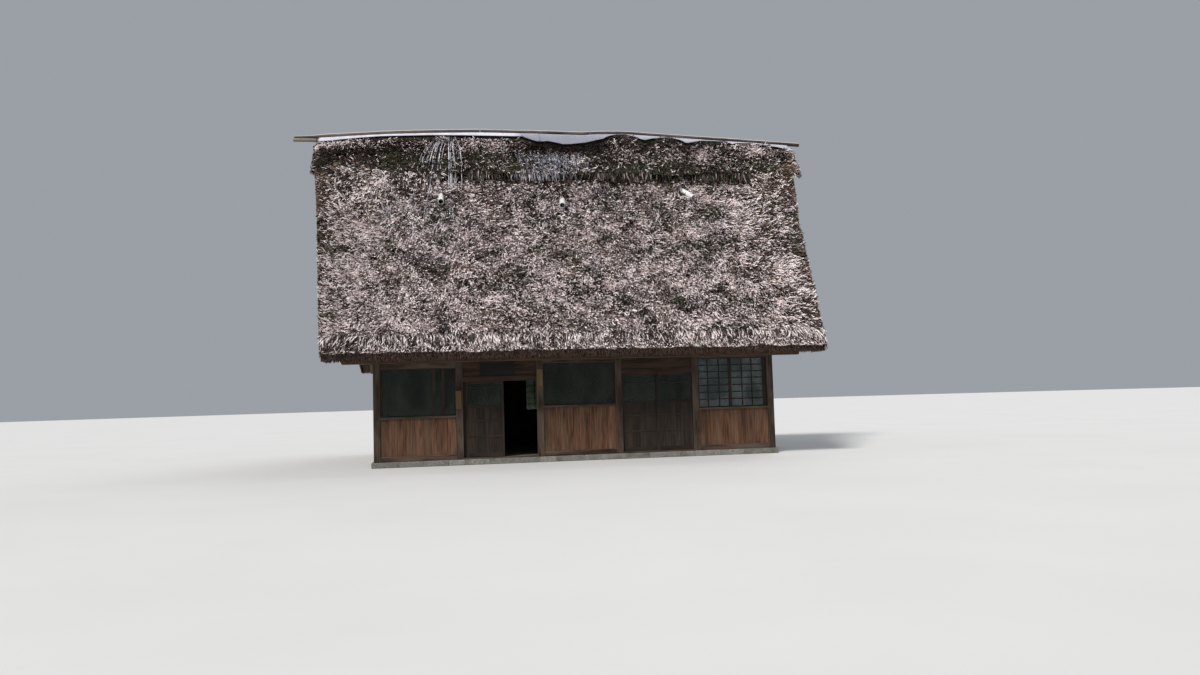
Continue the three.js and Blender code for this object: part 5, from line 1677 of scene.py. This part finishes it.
strays = strewn(
    x, y, run=chance.uniform(0.16, 0.42, STRAYS) * np.where(x < LONG_LEFT, 1.7, 1.0),
    slant=fan * 1.6 + chance.normal(0, 0.5, STRAYS), width=chance.uniform(0.012, 0.020, STRAYS),
    tones=np.clip(chance.normal(0.61, 0.05, STRAYS), 0.4, PALEST), lift=chance.uniform(0.03, 0.075, STRAYS),
)
straw_piece("loose_straw", [ridge_bundle, bluish_fringe, slid, trimmed(strays)])


# Ridge sheet
# Thin galvanised sheet laid over the ridge in lapped lengths. Its edges sag in flares between the places
# where they are held, and stand off the straw. It is a pale lavender white on the left and dull grey from
# there on to the right, greyest down its sides and flares as painted shade where they turn from the light. It
# is darkened along the laps and the lip by dirt and by painted shade.
SHEET_LENGTHS = [(-6.20, -0.50), (-0.98, 1.72), (1.69, 3.05), (3.00, 4.68), (4.65, 6.40)]
# How dull grey each length is; on the flares this grey is painted shade.
LENGTH_LIFTS, DULL_AND_SHADE = [0.0045, 0.0, 0.004, 0.0, 0.004], [1.0, 1.0, 0.85, 0.8, 0.65]
SHEET_GAUGE, FLARE = 0.005, 0.10
CAMERA_FALL = 0.28  # a lip that stands out so far falls by this share, so it keeps its line on the front

weathered_zinc, shader, add = new_finish("weathered_zinc", 0.5, 0.15)
place = object_place(add)
streaks = noise(add, stretched(add, place, (9, 2.2, 2.2)), 1.0, detail=5.0)
stains = noise(add, stretched(add, place, (1.6, 6, 6)), 1.0, detail=4.0, distortion=0.6)
dirt_and_shade, dull_and_shade = (add("ShaderNodeAttribute", attribute_name=name).outputs["Fac"] for name in ("dirt_and_shade", "dull_and_shade"))
bleached = mix(add, spread(add, streaks, 0.35, 0.65), (0.60, 0.58, 0.65), (0.72, 0.70, 0.765))
# The dull grey is weathered zinc, and down the sides and flares painted shade where they turn from the light.
zinc = mix(add, dull_and_shade, bleached, (0.235, 0.240, 0.295))
stained = mix(add, spread(add, stains, 0.55, 0.80, 0.0, 0.5), zinc, (0.30, 0.29, 0.33))
# Darker along the laps and the lip: dirt, and painted shade at the lip's edge and under the laps.
dirt_and_shade_share = reckoned(add, "MULTIPLY", dirt_and_shade, spread(add, streaks, 0.35, 0.7, 0.35, 1.0))
feed(
    shader,
    base_color=mix(add, dirt_and_shade_share, stained, (0.10, 0.085, 0.08)),
    roughness=spread(add, streaks, 0.3, 0.7, 0.42, 0.62),
)
bumped(add, shader, stains, 0.006, 0.4)


def move_points(mesh, x, y, z):
    mesh.vertices.foreach_set("co", np.stack([x, y, z], 1).astype(np.float32).ravel())


ALONG_STEP, ACROSS_CUTS = 0.055, 18
CREST_GIRTHS, CREST_FALL = [0, 0.07, 0.14, 0.205, 0.27, 0.46], [0, -0.010, -0.033, -0.082, -0.138, -0.3985]
OVER_POLES, DULL_AND_SHADE_FROM = 0.0125, -1.2  # the sheet's height over the ridge line, and where it turns dull grey and its painted shade begins
bpy.ops.object.select_all(action="DESELECT")
lengths = []
for (start, end), lift, dull_and_shade_amount in zip(SHEET_LENGTHS, LENGTH_LIFTS, DULL_AND_SHADE):
    along_cuts = round((end - start) / ALONG_STEP)
    bpy.ops.mesh.primitive_grid_add(x_subdivisions=along_cuts, y_subdivisions=ACROSS_CUTS, size=2)
    made = bpy.context.object
    flat = np.array([vertex.co for vertex in made.data.vertices])
    x = start + (end - start) * (flat[:, 0] + 1) / 2
    across = flat[:, 1]
    half = sheet_half(x)
    from_end = np.minimum(x - start, end - x)
    waviness = 0.5 * drift_along(x, 0.34, 61) + 0.5 * drift_along(x, 0.15, 62)
    lip = np.clip((np.abs(across) - 0.45) / 0.55, 0, 1)
    flare = FLARE * np.clip((half - 0.16) / 0.24, 0.12, 1) * lip ** 1.5 * (0.75 + 0.5 * waviness)
    curl = 0.028 * np.exp(-from_end / 0.07) * lip ** 2 * (half > 0.2)
    girth = np.abs(across) * half
    crest = np.interp(girth, CREST_GIRTHS, CREST_FALL)
    z = ridge_z(x) + crest + OVER_POLES * np.minimum(girth / 0.05, 1) + lift - CAMERA_FALL * flare + curl
    move_points(made.data, x, np.sign(across) * (girth + flare), z)
    # Dark bands along each lap and along the lip: partly dirt, partly painted shade.
    near_lap = np.exp(-((from_end / 0.03) ** 2)) * 0.8
    near_lip = np.exp(-(((1 - np.abs(across)) * half / 0.012) ** 2)) * 0.5
    # Duller down the sides than at the crest: painted shade where the sheet turns from the light.
    dull_and_shade_share = dull_and_shade_amount * np.clip((x - DULL_AND_SHADE_FROM) / 0.25, 0, 1) * np.interp(girth, [0.08, 0.2], [0.55, 1])
    for label, values in (("dirt_and_shade", np.maximum(near_lap, near_lip)), ("dull_and_shade", dull_and_shade_share)):
        kept = made.data.attributes.new(label, "FLOAT", "POINT")
        kept.data.foreach_set("value", values.astype(np.float32))
    lengths.append(made)
for made in lengths:
    made.select_set(True)
bpy.ops.object.join()
ridge_metal = bpy.context.object
ridge_metal.name = ridge_metal.data.name = "ridge_sheet_metal"
thick = ridge_metal.modifiers.new("gauge", "SOLIDIFY")
thick.thickness = SHEET_GAUGE
thick.offset = -1
bpy.ops.object.modifier_apply(modifier="gauge")
bpy.ops.object.shade_smooth_by_angle(angle=math.radians(40))
bpy.ops.object.transform_apply(location=True, rotation=True, scale=True)
wear(ridge_metal, weathered_zinc)
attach(ridge_metal, "root")
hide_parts("ridge_sheet")


# Ridge poles
# Three peeled logs lie end to end on the sheet, thin and crooked. Their tops are pale grey, partly bleached
# and partly painted light from above, and their undersides are still brown, with knots and long checks. The
# log under the sheet shows its brown end at the left gable.
POLES = {  # place and radius from one end to the other
    "left": [(-6.84, 0.026), (-6.40, 0.041), (-6.15, 0.052), (-2.08, 0.055)],
    "middle": [(-2.06, 0.055), (0.88, 0.050)], "right": [(0.90, 0.048), (6.79, 0.054)],
    "left_under": [(-6.86, 0.043), (-6.5, 0.047), (-5.90, 0.045)],
}
POLE_LIFT = 0.0099
UNDER_FOOT = 8.247  # underside of the log below the sheet
ROUND, LOG_STEP = 14, 0.07
LOGS_LOW, LOGS_HIGH = np.array([[-9, -1, 7.0]]), np.array([[9, 1, 9.0]])  # one block round all logs
LIT_AND_BLEACHED_SIDE = 0.4  # a normal that rises more than so is painted pale: bleached, and painted light from above
GREY_FROM, GREYNESS = -6.27, 1.8  # the log under the sheet has weathered grey past here
# The logs' pale weathered colour on their tops is partly painted light.
log_wood = timber(
    "log_wood", dark=(0.018, 0.013, 0.010), light=(0.085, 0.067, 0.058), weathered=(0.80, 0.74, 0.70),
    grey_share=0.12, relief=0.004,
)
brown_wood = timber(
    "brown_log_wood", dark=(0.050, 0.020, 0.011), light=(0.20, 0.085, 0.048), weathered=(0.22, 0.20, 0.155),
    grey_share=0.1, relief=0.003,
)
for index, (label, stations) in enumerate(POLES.items()):
    start, end = stations[0][0], stations[-1][0]
    bpy.ops.object.select_all(action="DESELECT")
    bpy.ops.mesh.primitive_cylinder_add(vertices=ROUND, radius=1, depth=2, rotation=(0, math.pi / 2, 0))
    bpy.ops.object.transform_apply(location=True, rotation=True, scale=True)
    made = bpy.context.object
    made.name = made.data.name = f"ridge_log_{label}"
    bpy.ops.object.mode_set(mode="EDIT")
    bpy.ops.mesh.select_mode(type="EDGE")
    bpy.ops.object.mode_set(mode="OBJECT")
    select_none(made.data)
    for edge in made.data.edges:
        foot, tip = (made.data.vertices[corner].co.x for corner in edge.vertices)
        edge.select = abs(foot - tip) > 1
    bpy.ops.object.mode_set(mode="EDIT")
    bpy.ops.mesh.subdivide(number_cuts=round((end - start) / LOG_STEP))
    bpy.ops.object.mode_set(mode="OBJECT")
    places = np.array([vertex.co for vertex in made.data.vertices])
    share = (places[:, 0] + 1) / 2
    x = start + (end - start) * share
    radius = np.interp(x, *zip(*stations))
    knobs = drift_along(x, 0.42, 71, index) > 0.78
    knots = 1 + 0.10 * knobs + 0.07 * (drift_along(x, 0.2, 72, index) - 0.5)
    lumps = 1 + 0.05 * (drift(x * 2 + 9, places[:, 1], 0.5, 73) - 0.5)
    sway = (drift_along(x, 1.3, 74, index) - 0.5) * 0.02
    ring = radius * knots * lumps
    is_under = label == "left_under"
    foot = UNDER_FOOT if is_under else ridge_z(np.maximum(x, -6.22)) + POLE_LIFT
    move_points(made.data, x, sway + ring * places[:, 1], foot + radius + ring * places[:, 2])
    bpy.ops.object.mode_set(mode="EDIT")
    bpy.ops.mesh.select_all(action="SELECT")
    bpy.ops.mesh.normals_make_consistent(inside=False)
    bpy.ops.object.mode_set(mode="OBJECT")
    mark_grain(made.data, LOGS_LOW, LOGS_HIGH, ["x"], facing_up=LIT_AND_BLEACHED_SIDE)
    if is_under:
        marks = made.data.attributes["marks"].data
        for face in made.data.polygons:
            for loop in face.loop_indices:
                marks[loop].vector = (marks[loop].vector[0], GREYNESS * (face.center.x < GREY_FROM), 0)
    bpy.ops.object.shade_smooth_by_angle(angle=math.radians(50))
    wear(made, brown_wood if is_under else log_wood)
    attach(made, "root")
    if not is_under:
        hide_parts(f"ridge_pole_{label}")
